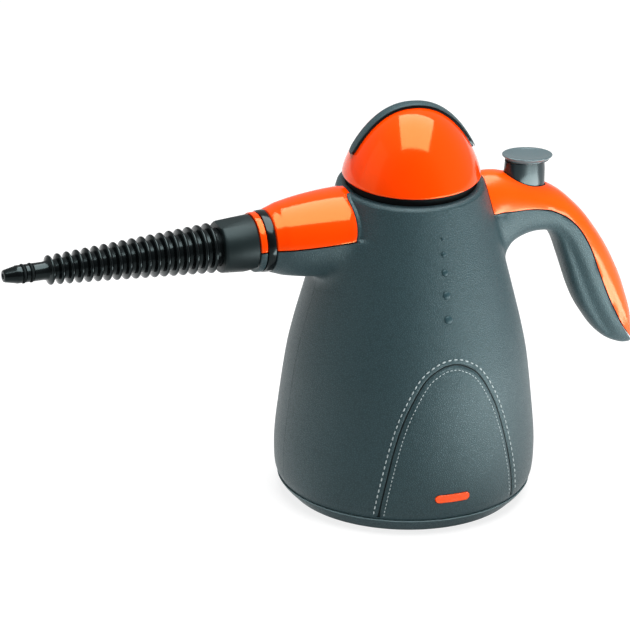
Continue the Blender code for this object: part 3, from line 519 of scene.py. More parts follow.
def spark_eroded_plastic(name, colour, roughness=0.42, grit=0.45 * MM):
    """Plastic or rubber with the fine even pits of a spark-eroded mould: satin, without a grain."""
    material, tree, shader = surface(name, roughness, ior=1.33, glint=COOL_GLINT)
    where = grain_coordinates(tree, 0.2 * MM, 2 * MM)
    pits = node(tree, "TexNoise", {"Vector": where, "Scale": 1 / grit, "Detail": 3.0, "Roughness": 0.6})
    clouds = node(tree, "TexNoise", {"Vector": where, "Scale": 1 / (12 * MM), "Detail": 2.0}).outputs["Fac"]
    bump = node(tree, "Bump", {"Strength": 0.5, "Distance": 0.05 * MM, "Height": pits.outputs["Fac"]})
    low, high = shade(colour, 1.0), shade(colour, 1.35)
    patterned(tree, shader, clouds, low, high, bump, (roughness * 0.85, roughness * 1.15))
    return material


def turned_metal(name, colour, roughness):
    """Metal with the fine rings that a lathe or a spinning tool leaves, seen as slight bands."""
    material, tree, shader = surface(name, roughness, metallic=1.0)
    where = grain_coordinates(tree, 0.1 * MM, 3 * MM)
    banding = {"Vector": where, "Scale": 0.3 / (0.4 * MM), "Distortion": 1.5, "Detail": 2.0}
    rings = node(tree, "TexWave", banding, bands_direction="Z")
    dull = node(tree, "TexNoise", {"Vector": where, "Scale": 1 / (8 * MM), "Detail": 3.0}).outputs["Fac"]
    bump = node(tree, "Bump", {"Strength": 0.2, "Distance": 0.02 * MM, "Height": rings.outputs["Fac"]})
    low, high = shade(colour, 0.85), shade(colour, 1.0)
    patterned(tree, shader, dull, low, high, bump, (roughness * 0.8, roughness * 1.3))
    return material


def lens_polycarbonate(name, colour):
    """Orange-red polycarbonate of a pilot lamp: glossy, lit a little from within by its own depth."""
    material, tree, shader = surface(name, 0.2)
    where = node(tree, "TexCoord", {}).outputs["Object"]
    flow = node(tree, "TexNoise", {"Vector": where, "Scale": 1 / (4 * MM), "Detail": 2.0}).outputs["Fac"]
    bump = node(tree, "Bump", {"Strength": 0.1, "Distance": 0.03 * MM, "Height": flow})
    shader.inputs["Subsurface Weight"].default_value = 0.25
    shader.inputs["Subsurface Radius"].default_value = (2 * MM, 0.6 * MM, 0.3 * MM)
    shader.inputs["Subsurface Scale"].default_value = 1.0
    patterned(tree, shader, flow, shade(colour, 0.85), shade(colour, 1.0), bump)
    return material


def sewing_thread(name, colour):
    """Bonded polyester thread: a soft sheen over a tight twist."""
    material, tree, shader = surface(name, 0.6)
    where = node(tree, "TexCoord", {}).outputs["Object"]
    twisting = {"Vector": where, "Scale": 0.3 / (0.5 * MM), "Distortion": 2.0}
    twist = node(tree, "TexWave", twisting, bands_direction="DIAGONAL").outputs["Fac"]
    bump = node(tree, "Bump", {"Strength": 0.4, "Distance": 0.08 * MM, "Height": twist})
    shader.inputs["Sheen Weight"].default_value = 0.3
    # Darker in the twist's grooves: painted shade of the thread's relief.
    patterned(tree, shader, twist, shade(colour, 0.7), shade(colour, 1.0), bump)
    return material


def colour_choice(name, description, hex_colour):
    return FloatVectorProperty(
        name=name, description=description, size=4, subtype="COLOR", default=linear(hex_colour), min=0, max=1
    )


def size_choice(name, description, default, least, most):
    return FloatProperty(
        name=name, description=description, unit="LENGTH", default=default, min=least, max=most
    )


class CleanerColours(bpy.types.PropertyGroup):
    slate: colour_choice("Slate", "Leather-grained housing", "#273B40")
    orange: colour_choice("Orange", "Polished cap and neck cover", "#FF4000")
    # The handle cover's orange is lighter and yellower than the other: painted light on the handle's top.
    amber: colour_choice("Amber", "Polished handle cover", "#FF5000")
    button: colour_choice("Button grey", "Polished steam button", "#4E5C60")
    # The stem's dark colour is partly its own and partly painted shade under the button's disc.
    stem: colour_choice("Stem", "Stem of the steam button", "#162024")
    black: colour_choice("Black", "Nozzle, rings and rubber", "#0A0D0E")
    collar: colour_choice("Collar", "Satin bayonet collar", "#121A1B")
    lamp: colour_choice("Lamp", "Pilot lamp lens", "#FF5510")
    thread: colour_choice("Thread", "Stitching along the arch", "#A9B8BA")
    # The lip is lighter than the slate as a painted highlight on the base's edge.
    lip: colour_choice("Lip", "Trimmed lip of the base", "#71868A")


class CapSizes(bpy.types.PropertyGroup):
    radius: size_choice(
        "Radius", "Outer radius of the cap at its rim", (DOME_BOX[1].x - DOME_BOX[0].x) / 2, 0.03, 0.05
    )
    height: size_choice("Height", "Height of the cap over its rim", 0.0408, 0.03, 0.05)
    grip_width: size_choice("Grip width", "Width of the strip over the cap", 0.007, 0.004, 0.012)
    grip_height: size_choice("Grip height", "Height of the strip over the cap", 0.0021, 0.001, 0.0021)


class NozzleSizes(bpy.types.PropertyGroup):
    ribs: IntProperty(name="Ribs", description="Number of ribs on the nozzle", min=6, max=24, default=18)
    crest: size_choice("Crest", "Radius over the first rib", 0.0145, 0.01, 0.0145)
    crest_end: size_choice("Last crest", "Radius over the last rib", 0.0086, 0.006, 0.0145)


class SeamSizes(bpy.types.PropertyGroup):
    stitch: size_choice("Stitch", "Length of one stitch", 0.0024, 0.001, 0.004)
    pitch: size_choice("Pitch", "From one stitch to the next", 0.0037, 0.002, 0.006)
    offset: size_choice("Offset", "From the seam to each row of stitches", 0.0030, 0.001, 0.006)


class CleanerSettings(bpy.types.PropertyGroup):
    colours: PointerProperty(name="Colours", description="Colours of the finishes", type=CleanerColours)
    cap: PointerProperty(name="Cap", description="Sizes of the screw cap", type=CapSizes)
    nozzle: PointerProperty(name="Nozzle", description="Sizes of the finned nozzle", type=NozzleSizes)
    seam: PointerProperty(name="Seam", description="Sizes of the sewn seam", type=SeamSizes)


def settings():
    return bpy.context.scene.steam_cleaner


# Every finish: how its surface was made, its colour (a setting or a hex value) and what sets it apart.
FINISHES = {
    "leather_grain_abs": (leather_grain_plastic, "slate", {}),
    "polished_orange_abs": (polished_plastic, "orange", {"glint": WARM_GLINT}),
    "polished_amber_abs": (polished_plastic, "amber", {"roughness": 0.24, "glint": AMBER_GLINT}),
    "polished_grey_abs": (polished_plastic, "button", {"roughness": 0.18}),
    "polished_stem_abs": (polished_plastic, "stem", {"roughness": 0.22, "ior": 1.5}),
    "polished_black_pa": (polished_plastic, "black", {"roughness": 0.16, "tint": 0.2, "ior": 1.4}),
    "trimmed_edge_abs": (spark_eroded_plastic, "lip", {"roughness": 0.5}),
    "satin_slate_abs": (spark_eroded_plastic, "slate", {"roughness": 0.34}),
    "satin_black_pa": (spark_eroded_plastic, "collar", {}),
    "black_rubber": (spark_eroded_plastic, "black", {"roughness": 0.75, "grit": 0.7 * MM}),
    "lens_polycarbonate": (lens_polycarbonate, "lamp", {}),
    "polyester_thread": (sewing_thread, "thread", {}),
    "natural_nylon": (spark_eroded_plastic, "#D8D0BC", {"roughness": 0.5}),
    "spun_aluminium": (turned_metal, "#D9DADB", {"roughness": 0.32}),
    "bright_steel": (turned_metal, "#C4C6C8", {"roughness": 0.25}),
    "turned_brass": (turned_metal, "#D0A85C", {"roughness": 0.28}),
}


def finish(name):
    """A finish by its name, made when a piece first asks for it."""
    if name in bpy.data.materials:
        return bpy.data.materials[name]
    making, colour, details = FINISHES[name]
    colour = linear(colour) if colour.startswith("#") else tuple(getattr(settings().colours, colour))
    return making(name, colour, **details)


def body_form(grow=0.0):
    """The round housing as a closed solid, larger or smaller all over by so much."""
    top = TOP_Z + grow
    skin = smooth_line(BODY_LINE + SHOULDER_LINE, 5)
    line = [(p.x + grow, min(p.y, top) if grow < 0 else p.y) for p in skin]
    line[-1] = (line[-1][0], top)
    return turned([(0.0, BODY_LINE[0][1])] + line + [(0.0, top)])


def neck_form():
    """The neck as a closed solid."""
    line = [(radius, x) for x, radius in NECK_FLANGE] + [(p.y, p.x) for p in smooth_line(NECK_LINE, 4)]
    return along_x(turned([(0.0, line[0][1])] + line + [(0.0, line[-1][1])], 120))


def neck_hollow():
    line = [(0.0, -102.0), (NECK_BORE, -102.0), (NECK_BORE, -84.0)]
    line += [(radius - WALL, x + WALL) for x, radius in NECK_LINE[3:]]
    return along_x(turned(line + [(0.0, line[-1][1])], 48))


def parting_z(x):
    """The height of the neck's parting plane at x."""
    return PARTING_Z + PARTING_RISE * (x - PARTING_FROM_X)


def above_parting(slack):
    """The space over the neck's parting plane, nozzle side only."""
    far_x, near_x, sky_z = -125.0, -8.0, 215.0
    low = [(x, parting_z(x) - slack) for x in (far_x, near_x)]
    return prism(low + [(near_x, sky_z), (far_x, sky_z)], -45.0, 45.0)


def outside_parting(slack):
    """The space outside the handle's parting line."""
    shift = slack / math.sqrt(2)
    line = [(p.x - shift, p.y - shift) for p in smooth_line(HANDLE_PARTING, 4)]
    return prism(line + [(165.0, 65.0), (165.0, 215.0), (20.0, 215.0)], -26.0, 26.0)


def crossing(outer, inner):
    """How far along the line from the outer to the inner point the parting line crosses it, from 0 to 1."""
    for first, second in zip(HANDLE_PARTING, HANDLE_PARTING[1:]):
        bx, bz = inner[0] - outer[0], inner[1] - outer[1]
        cx, cz = first[0] - outer[0], first[1] - outer[1]
        dx, dz = second[0] - first[0], second[1] - first[1]
        turn = bx * dz - bz * dx
        if abs(turn) < 1e-9:
            continue
        along = (cx * dz - cz * dx) / turn
        across = (cx * bz - cz * bx) / turn
        if 0.0 <= across <= 1.0 and 0.0 <= along <= 1.0:
            return along
    return 0.5


def ramp(value, low, high):
    """0 below low, 1 above high and a smooth rise between them."""
    share = min(1.0, max(0.0, (value - low) / (high - low)))
    return share * share * (3 - 2 * share)


def powered(value, power):
    """A power of a value that keeps its sign."""
    return math.copysign(abs(value) ** power, value)


def handle_form(inset=0.0, points=48, steps=4):
    """The handle. Its outer form has hollows for the fingertips and a facet along the parting line."""
    stations = [(*outer, *inner, width) for outer, inner, width in HANDLE_STATIONS]
    stations = stations if inset == 0.0 else stations[:HOLLOW_STATIONS]
    rings = []
    for index, station in enumerate(smooth_line(stations, steps)):
        at = index / steps
        outer, inner = Vector((station[0], 0.0, station[1])), Vector((station[2], 0.0, station[3]))
        middle, across = (outer + inner) / 2, (outer - inner).normalized()
        half, width = (outer - inner).length / 2 - inset, station[4] - inset
        seam = 1 - 2 * crossing((station[0], station[1]), (station[2], station[3]))
        facet = 0.06 + 0.34 * ramp(at, 7.0, 13.0)
        dent = 2.1 * ramp(at, 4.5, 7.5) * (1 - ramp(at, 11.5, 14.0))
        ring = []
        for i in range(points):
            angle = 2 * math.pi * i / points
            side = powered(math.sin(angle), 2 / HANDLE_POWER)
            up = powered(math.cos(angle), 2 / HANDLE_POWER)
            reach = width * side
            if inset == 0.0:
                fall = max(0.0, 1 - abs(up - seam) / (facet if up > seam else 0.05))
                reach -= math.copysign(min(1.0, abs(side) * 2), side) * fall * min(1.0, width / 9)
                scoop = math.exp(-((up + 0.52) / 0.20) ** 2) * dent
                reach -= math.copysign(scoop, side) if side else 0.0
            ring.append(middle + across * half * up + Vector((0.0, reach, 0.0)))
        rings.append(ring)
    return lofted(rings)


def handle_hollow():
    return handle_form(WALL, 20, 1)


def pill_outline(half_x, half_z, z, points=13):
    """A slot with round ends as a closed line of (x, z) points."""
    outline = []
    for side in (1, -1):
        for i in range(points):
            angle = side * math.pi / 2 - math.pi * i / (points - 1)
            x = side * (half_x - half_z) + half_z * math.cos(angle)
            outline.append((x, z + half_z * math.sin(angle)))
    return outline


BODY_RADII = smooth_line(BODY_LINE, 8)


def body_radius(height):
    """The housing's outer radius at a height."""
    for low, high in zip(BODY_RADII, BODY_RADII[1:]):
        if low.y <= height <= high.y:
            share = (height - low.y) / (high.y - low.y)
            return low.x + (high.x - low.x) * share
    return BODY_RADII[0].x if height < BODY_RADII[0].y else BODY_RADII[-1].x


def on_front(degrees, height, lift=0.0):
    """A point of the housing's skin, by its angle from the front and its height."""
    angle = math.radians(degrees)
    radius = body_radius(height) + lift
    return Vector((radius * math.sin(angle), -radius * math.cos(angle), height))


def arch_points(offset=0.0, spacing=1.5, lift=0.0):
    """Evenly spaced points along the arch, from its left foot over the top to its right foot."""
    half = [(p.y, p.x) for p in smooth_line(ARCH_LINE, 12)]
    flat = [(-degrees, height) for degrees, height in reversed(half)] + half[1:]
    line = [on_front(degrees + ARCH_MIDDLE, height, lift) for degrees, height in flat]
    if offset:
        shifted = []
        for i, point in enumerate(line):
            ahead = line[min(i + 1, len(line) - 1)] - line[max(i - 1, 0)]
            out = Vector((point.x, point.y, 0.0)).normalized()
            beside = point + ahead.cross(out).normalized() * offset
            shifted.append(on_front(math.degrees(math.atan2(beside.x, -beside.y)), beside.z))
        line = [point for point in shifted if point.z > ARCH_FOOT_Z]
    even = [line[0]]
    for point in line[1:]:
        while (point - even[-1]).length >= spacing:
            even.append(even[-1] + (point - even[-1]).normalized() * spacing)
    return even


def on_screw_circle(degrees):
    """The x and y of a place on the circle of the base's screws and feet."""
    angle = math.radians(degrees)
    return SCREW_CIRCLE * math.cos(angle), SCREW_CIRCLE * math.sin(angle)


def screw_form(seat, axis, head_radius=3.0, head_height=2.0):
    """A pan-head screw with a cross recess. Its head's seat is given, and its shank runs along the axis."""
    line = [(0.0, -head_height), (head_radius * 0.62, -head_height), (head_radius * 0.9, -head_height * 0.72)]
    line += [(head_radius, -0.25), (head_radius - 0.1, 0.0), (1.3, 0.0), (1.3, 12.0), (0.0, 13.6)]
    bm = turned(line, 40)
    # Each slot of the recess is cut on its own, because a cutter must not cross itself.
    for quarter, depth in ((0.0, 1.1), (math.pi / 2, 1.05)):
        slot = block((-1.9, -0.42, -head_height - 1.0), (1.9, 0.42, -head_height + depth))
        bm = cut(bm, spun(slot, quarter, "Z"))
    turn = Vector(axis).to_track_quat("Z", "Y").to_matrix()
    bmesh.ops.rotate(bm, verts=bm.verts, cent=(0, 0, 0), matrix=turn)
    return moved(bm, *seat)


class CLEANER_OT_housing(bpy.types.Operator):
    """Builds the two leather-grained housing shells with their neck, handle and seam"""

    bl_idname = "cleaner.housing"
    bl_label = "Housing shells"

    def execute(self, context):
        round_body, neck, handle = body_form(), neck_form(), handle_form()
        shell = united(body_form(), neck_form())
        shell = fillet(
            shell, round_body, neck, NECK_FILLET, lambda co: co.x < 0 and co.z > parting_z(co.x) + 1.0
        )
        shell = united(shell, handle_form())
        shell = fillet(
            shell, round_body, handle, HANDLE_FILLET, lambda co: co.x < 0 or co.z > HANDLE_CREASE_Z
        )
        for form in (round_body, neck, handle):
            form.free()
        neck_side = cut(above_parting(SEAM / 2), body_form(NECK_COVER_SETBACK))
        handle_side = cut(outside_parting(SEAM / 2), body_form(0.02))
        hollow = united(self.hollow(), neck_hollow(), handle_hollow())
        shell = cut(shell, neck_side, handle_side, hollow, self.openings())
        for name, side in (("shell_front", -1), ("shell_rear", 1)):
            low, high = sorted((side * SHELL_GAP / 2, side * 120.0))
            half = shared(shell.copy(), block((-200.0, low, -10.0), (200.0, high, 230.0)))
            if side < 0:
                # The seam of the arch: a shallow trough, and a narrow groove at its bottom for a black cord
                # that paints its shade.
                half = cut(half, tube(arch_points(lift=1.8), 2.3, 4), tube(arch_points(lift=-0.7), 0.5))
            place(name, rounded(half, 0.3, 45.0, 1), "leather_grain_abs", "housing", [name])
        shell.free()
        return {"FINISHED"}

    def hollow(self):
        """The space inside the round housing, open at the mouth."""
        line = [(radius - WALL, height) for radius, height in BODY_LINE]
        line = [(0.0, 0.0), (line[0][0], 0.0)] + line
        line += [(MOUTH_RADIUS, TOP_Z - WALL), (MOUTH_RADIUS, TOP_Z + 12.0), (0.0, TOP_Z + 12.0)]
        return turned(line, 48)

    def openings(self):
        """The button's well, the lamp's slot, the cord's hole and the wells of the screws."""
        cuts = [oval(BUTTON_WELL, 172.0, 205.0, BUTTON_X)]
        cuts.append(prism(pill_outline(*(half + LAMP_GAP for half in LAMP_HALF), LAMP_Z), -82.0, -66.0))
        cuts.append(along_x(rod(GLAND_HOLE, 66.0, 84.0), GLAND_Z))
        for x, z in SHELL_SCREWS:
            well = turned([(0.0, 4.0), (1.6, 4.0), (1.6, 8.3), (3.4, 8.3), (3.4, 40.0), (0.0, 40.0)], 32)
            cuts.append(moved(spun(well, -math.pi / 2, "X"), x, 0.0, z))
        return joined(*cuts)


class CLEANER_OT_covers(bpy.types.Operator):
    """Builds the polished orange covers over the neck and the handle, and a black strip under the handle's
    seam as painted shade
    """

    bl_idname = "cleaner.covers"
    bl_label = "Orange covers"

    def execute(self, context):
        neck = shared(neck_form(), above_parting(-SEAM / 2))
        neck = rounded(cut(neck, body_form(NECK_COVER_SETBACK + 0.6), neck_hollow()))
        place("nozzle_cover", neck, "polished_orange_abs", "housing", ["nozzle_cover"])
        cover = shared(handle_form(), outside_parting(-SEAM / 2))
        cover = cut(cover, body_form(0.35), handle_hollow(), oval(BUTTON_WELL, 165.0, 205.0, BUTTON_X))
        cover = rounded(cover)
        place("handle_cover", cover, "polished_amber_abs", "housing", ["handle_cover"])
        # A black strip under the handle cover's seam: painted shade in the gap.
        shade_strip = shared(handle_form(SHADE_STRIP_INSET), outside_parting(SEAM / 2 - SHADE_STRIP_PLAY))
        shade_strip = cut(shade_strip, outside_parting(-SEAM / 2 + SHADE_STRIP_PLAY), body_form(0.3), handle_hollow())
        place("handle_gasket", shade_strip, "black_rubber", "housing", ())
        return {"FINISHED"}


class CLEANER_OT_front_details(bpy.types.Operator):
    """Adds a black cord in the arch seam as painted shade in its groove, its stitching and the row of studs
    above it
    """

    bl_idname = "cleaner.front_details"
    bl_label = "Stitching and studs"

    def execute(self, context):
        seam = settings().seam
        fine = 0.1
        stitches = bmesh.new()
        for side, share, fatness in STITCH_ROWS:
            line = arch_points(side * seam.offset / MM, fine)
            step = max(1, round(seam.pitch * share / MM / fine))
            for i in range(step, len(line) - step, step):
                self.stitch(stitches, line[i], line[i + 1] - line[i - 1], seam.stitch * share / MM, fatness)
        # A black cord sunk in the seam's groove: painted shade.
        place("arch_bead", tube(arch_points(lift=-0.75), 0.5, 3), "black_rubber", "housing")
        place("arch_stitching", stitches, "polyester_thread", "housing")
        studs = [self.stud(height, radius) for height, radius in STUDS]
        place("front_studs", joined(*studs), "satin_slate_abs", "housing")
        return {"FINISHED"}

    def stitch(self, bm, middle, ahead, length, fatness):
        """One stitch: a short round bead that dips into the skin at both ends."""
        made = bmesh.ops.create_uvsphere(bm, u_segments=8, v_segments=6, radius=1.0)["verts"]
        radius = STITCH_RADIUS * fatness
        bmesh.ops.scale(bm, verts=made, vec=(radius, radius, length / 2))
        out = Vector((middle.x, middle.y, 0.0)).normalized()
        turn = ahead.normalized().to_track_quat("Z", "Y").to_matrix()
        bmesh.ops.rotate(bm, verts=made, cent=(0, 0, 0), matrix=turn)
        bmesh.ops.translate(bm, verts=made, vec=middle + out * (0.32 * fatness - 0.2))

    def stud(self, height, radius):
        """A low dome that stands square on the sloping front."""
        arc = [math.radians(degrees) for degrees in range(0, 90, 15)]
        dome = [(radius * math.cos(angle), STUD_HEIGHT * math.sin(angle)) for angle in arc]
        stud = turned([(0.0, -0.8), (radius, -0.8)] + dome + [(0.0, STUD_HEIGHT)], 32)
        lean = math.atan2(body_radius(height - 4) - body_radius(height + 4), 8.0)
        return moved(spun(stud, math.pi / 2 - lean, "X"), 0.6, -body_radius(height), height)


class CLEANER_OT_cap(bpy.types.Operator):
    """Builds the orange cap with its grip strip, and the black collar of the filling mouth"""

    bl_idname = "cleaner.cap"
    bl_label = "Cap and filling collar"

    def execute(self, context):
        sizes = settings().cap
        self.radius, self.height, self.rim = sizes.radius / MM, sizes.height / MM, DOME_BOX[0].z / MM + 0.2
        angles = [math.pi / 2 * i / 40 for i in range(41)]
        outside, inside = ([self.arc(angle, lift) for angle in angles] for lift in (0.0, -CAP_WALL))
        rim = [(-2.0, -0.2), (-1.4, -0.7), (-0.5, -0.75), (-0.05, -0.3)]
        rim = [(self.radius + out, self.rim + up) for out, up in rim]
        hub = [
            (23.2, 197.5), (25.6, 197.5), (25.6, 224.3), (23.2, 226.7), (23.2, 213.2), (13.0, 213.2),
            (13.0, 211.0), (23.2, 211.0),
        ]
        dome = united(turned(inside[::-1] + rim + outside, 160), turned(hub, 64, ring=True))
        place("cap_dome", dome, "polished_orange_abs", "cap_top", ["cap_dome"])
        width = sizes.grip_width / MM
        # A slate band, raised off the dome by a slightly narrower black one: painted shade under the slate
        # band's edge.
        band = self.strip(1.5, sizes.grip_height / MM, width, 0.0, 0)
        grip = spun(joined(band, self.strip(0.05, 1.6, width - 0.3, 0.004, 1)), CAP_TURNED, "Z")
        skins = "leather_grain_abs polished_black_pa"
        place("cap_grip", grip, skins, "cap_top", ["cap_grip"])
        collar = [
            (33.4, 185.0), (40.2, 185.0), (40.2, 187.0), (37.4, 188.0), (37.2, 196.6), (36.9, 197.0),
            (33.8, 197.0), (33.4, 196.6),
        ]
        collar = turned(collar, 128, ring=True)
        place("filler_collar", collar, "black_rubber", "housing", ["filler_collar"])
        return {"FINISHED"}

    def arc(self, angle, lift):
        """A point of the dome's outline, lifted off it, as (radius, height)."""
        across = 0.0 if abs(angle - math.pi / 2) < 1e-6 else powered(math.cos(angle), 2 / CAP_RADIUS_POWER)
        up = powered(math.sin(angle), 2 / CAP_HEIGHT_POWER)
        return (self.radius + lift) * across, self.rim + (self.height + lift) * up

    def strip(self, low, high, width, trim, material):
        """A band over the dome from one side to the other, with rounded edges and tapered ends."""
        first, last = math.radians(30.0) + trim, math.radians(150.0) - trim
        rings = []
        count = 72
        for i in range(count + 1):
            angle = first + (last - first) * i / count
            end = min(1.0, math.sqrt(max(0.02, min(i, count - i) / 3)))
            half, top = width / 2 * (0.55 + 0.45 * end), low + (high - low) * (0.45 + 0.55 * end)
            edge = min(0.5, (top - low) * 0.45)
            corner = edge * 0.3
            side = [(half, low), (half, top - edge), (half - corner, top - corner), (half - edge, top)]
            section = [(-y, lift) for y, lift in side] + [(0.0, top)] + side[::-1]
            spots = [(y, *self.arc(angle, lift)) for y, lift in section]
            rings.append([(across, y, height) for y, across, height in spots])
        bm = lofted(rings)
        for face in bm.faces:
            face.material_index = material
        return bm


class CLEANER_OT_nozzle(bpy.types.Operator):
    """Builds the spout ring, the bayonet collar and the finned nozzle with the rings at its tip"""

    bl_idname = "cleaner.nozzle"
    bl_label = "Nozzle"

    def execute(self, context):
        ring = [
            (15.7, -89.5), (17.6, -89.5), (18.0, -89.9), (18.1, -90.6), (18.0, -93.4), (17.7, -94.2),
            (17.2, -94.4), (15.7, -94.4),
        ]
        ring = self.ringed(ring, 120)
        place("spout_ring", ring, "polished_black_pa", "housing", ["spout_ring"])
        collar = self.collar()
        place("nozzle_collar", collar, "satin_black_pa", "nozzle", ["nozzle_collar"])
        tip = [
            (5.3, -226.5), (5.3, -232.7), (5.0, -233.1), (4.7, -233.2), (4.7, -235.2), (5.0, -235.3),
            (5.3, -235.6), (5.3, -237.5), (5.0, -237.9), (4.7, -238.0), (4.7, -240.0), (5.0, -240.1),
            (5.3, -240.4), (5.3, -243.0), (5.0, -243.6), (3.7, -249.9), (3.3, -250.7), (2.9, -250.9),
            (1.7, -250.9), (1.5, -250.6),
        ]
        line = [(1.5, -108.0), (11.0, -108.0), (11.0, -119.6)] + self.ribs() + tip
        nozzle = self.ringed(line, 112)
        place("finned_nozzle", nozzle, "polished_black_pa", "nozzle", ["finned_nozzle"])
        for k, start in enumerate((-233.4, -238.2), start=1):
            bead = [(5.0, 0.0), (5.4, -0.1), (5.7, -0.5), (5.7, -1.1), (5.4, -1.5), (5.0, -1.6)]
            bead = self.ringed([(radius, start + out) for radius, out in bead], 80)
            place(f"tip_ring_{k}", bead, "black_rubber", "nozzle", [f"tip_ring_{k}"])
        return {"FINISHED"}

    def ringed(self, line, steps):
        return along_x(turned(line, steps, ring=True))

    def ribs(self):
        """The fins' outline as (radius, x): they and the stem between them get thinner towards the tip."""
        sizes = settings().nozzle
        first, last = -124.8, -222.6
        line = []
        for k in range(sizes.ribs):
            share = k / (sizes.ribs - 1)
            middle = first + (last - first) * share
            crest = (sizes.crest + (sizes.crest_end - sizes.crest) * share) / MM
            root = 11.0 + (5.6 - 11.0) * share
            wall = [(root, 2.45), (root + 0.25, 1.8)]
            wall += [(crest - 0.9, 0.95), (crest - 0.25, 0.62), (crest, 0.25)]
            line += [(radius, middle + out) for radius, out in wall]
            line += [(radius, middle - out) for radius, out in reversed(wall)]
        return line

    def collar(self):
        """The collar, with grip flats at the nozzle's end and the bayonet's groove and entry slots inside."""
        line = [
            (11.1, -99.2), (11.3, -99.0), (15.8, -99.0), (16.3, -99.3), (16.5, -99.9), (15.25, -117.6),
            (15.1, -118.6), (14.7, -119.2), (14.2, -119.4), (11.3, -119.4), (11.3, -109.0), (12.9, -108.4),
            (12.9, -102.2), (11.1, -102.0),
        ]
        entry = block((-103.0, -14.4, NECK_Z - 4.6), (-98.0, 14.4, NECK_Z + 4.6))
        bm = cut(self.ringed(line, 128), shared(entry, along_x(rod(12.9, -104.0, -97.0, 64))))
        slope = math.radians(-10.5)
        for side in (1, -1):
            flat = spun(block((-24.0, -20.0, 0.0), (14.0, 20.0, 12.0)), side * slope, "Y")
            if side < 0:
                flat = spun(spun(flat, math.pi, "X"), 2 * slope, "Y")
            bm = cut(bm, moved(flat, -108.3, 0.0, NECK_Z + side * 15.55))
        return bm


class CLEANER_OT_button(bpy.types.Operator):
    """Builds the steam button with its dished oval disc"""

    bl_idname = "cleaner.button"
    bl_label = "Steam button"

    def execute(self, context):
        stem = [(0.0, 175.0), (0.97, 175.0), (1.0, 175.4), (1.0, 190.0), (0.96, 195.8), (0.0, 195.8)]
        stem = moved(scaled(turned(stem, 96), (*BUTTON_STEM, 1.0)), BUTTON_X)
        line = [
            (0.0, -3.2), (0.80, -3.2), (0.86, -2.6), (0.95, -1.5), (0.99, -0.85), (1.0, -0.45), (0.985, -0.1),
            (0.95, 0.0), (0.90, -0.1), (0.75, -0.65), (0.5, -1.15), (0.25, -1.4), (0.0, -1.5),
        ]
        disc = turned([tuple(p) for p in smooth_line(line, 4)], 128)
        disc = scaled(disc, (*BUTTON_DISC, 1.0))
        disc = moved(spun(disc, DISC_TILT, "Y"), *DISC_PLACE)
        rod_line = [(0.0, 163.4), (1.3, 163.4), (1.5, 163.7), (1.5, 177.0), (0.0, 177.0)]
        button = united(stem, disc, moved(turned(rod_line, 32), BUTTON_X))
        # Below the disc the second, darker finish: partly the stem's own colour, partly painted shade under
        # the disc.
        for face in button.faces:
            face.material_index = 1 if face.calc_center_median().z < STEM_TOP_Z else 0
        skins = "polished_grey_abs polished_stem_abs"
        place("steam_button", button, skins, "button", ["steam_button"])
        return {"FINISHED"}


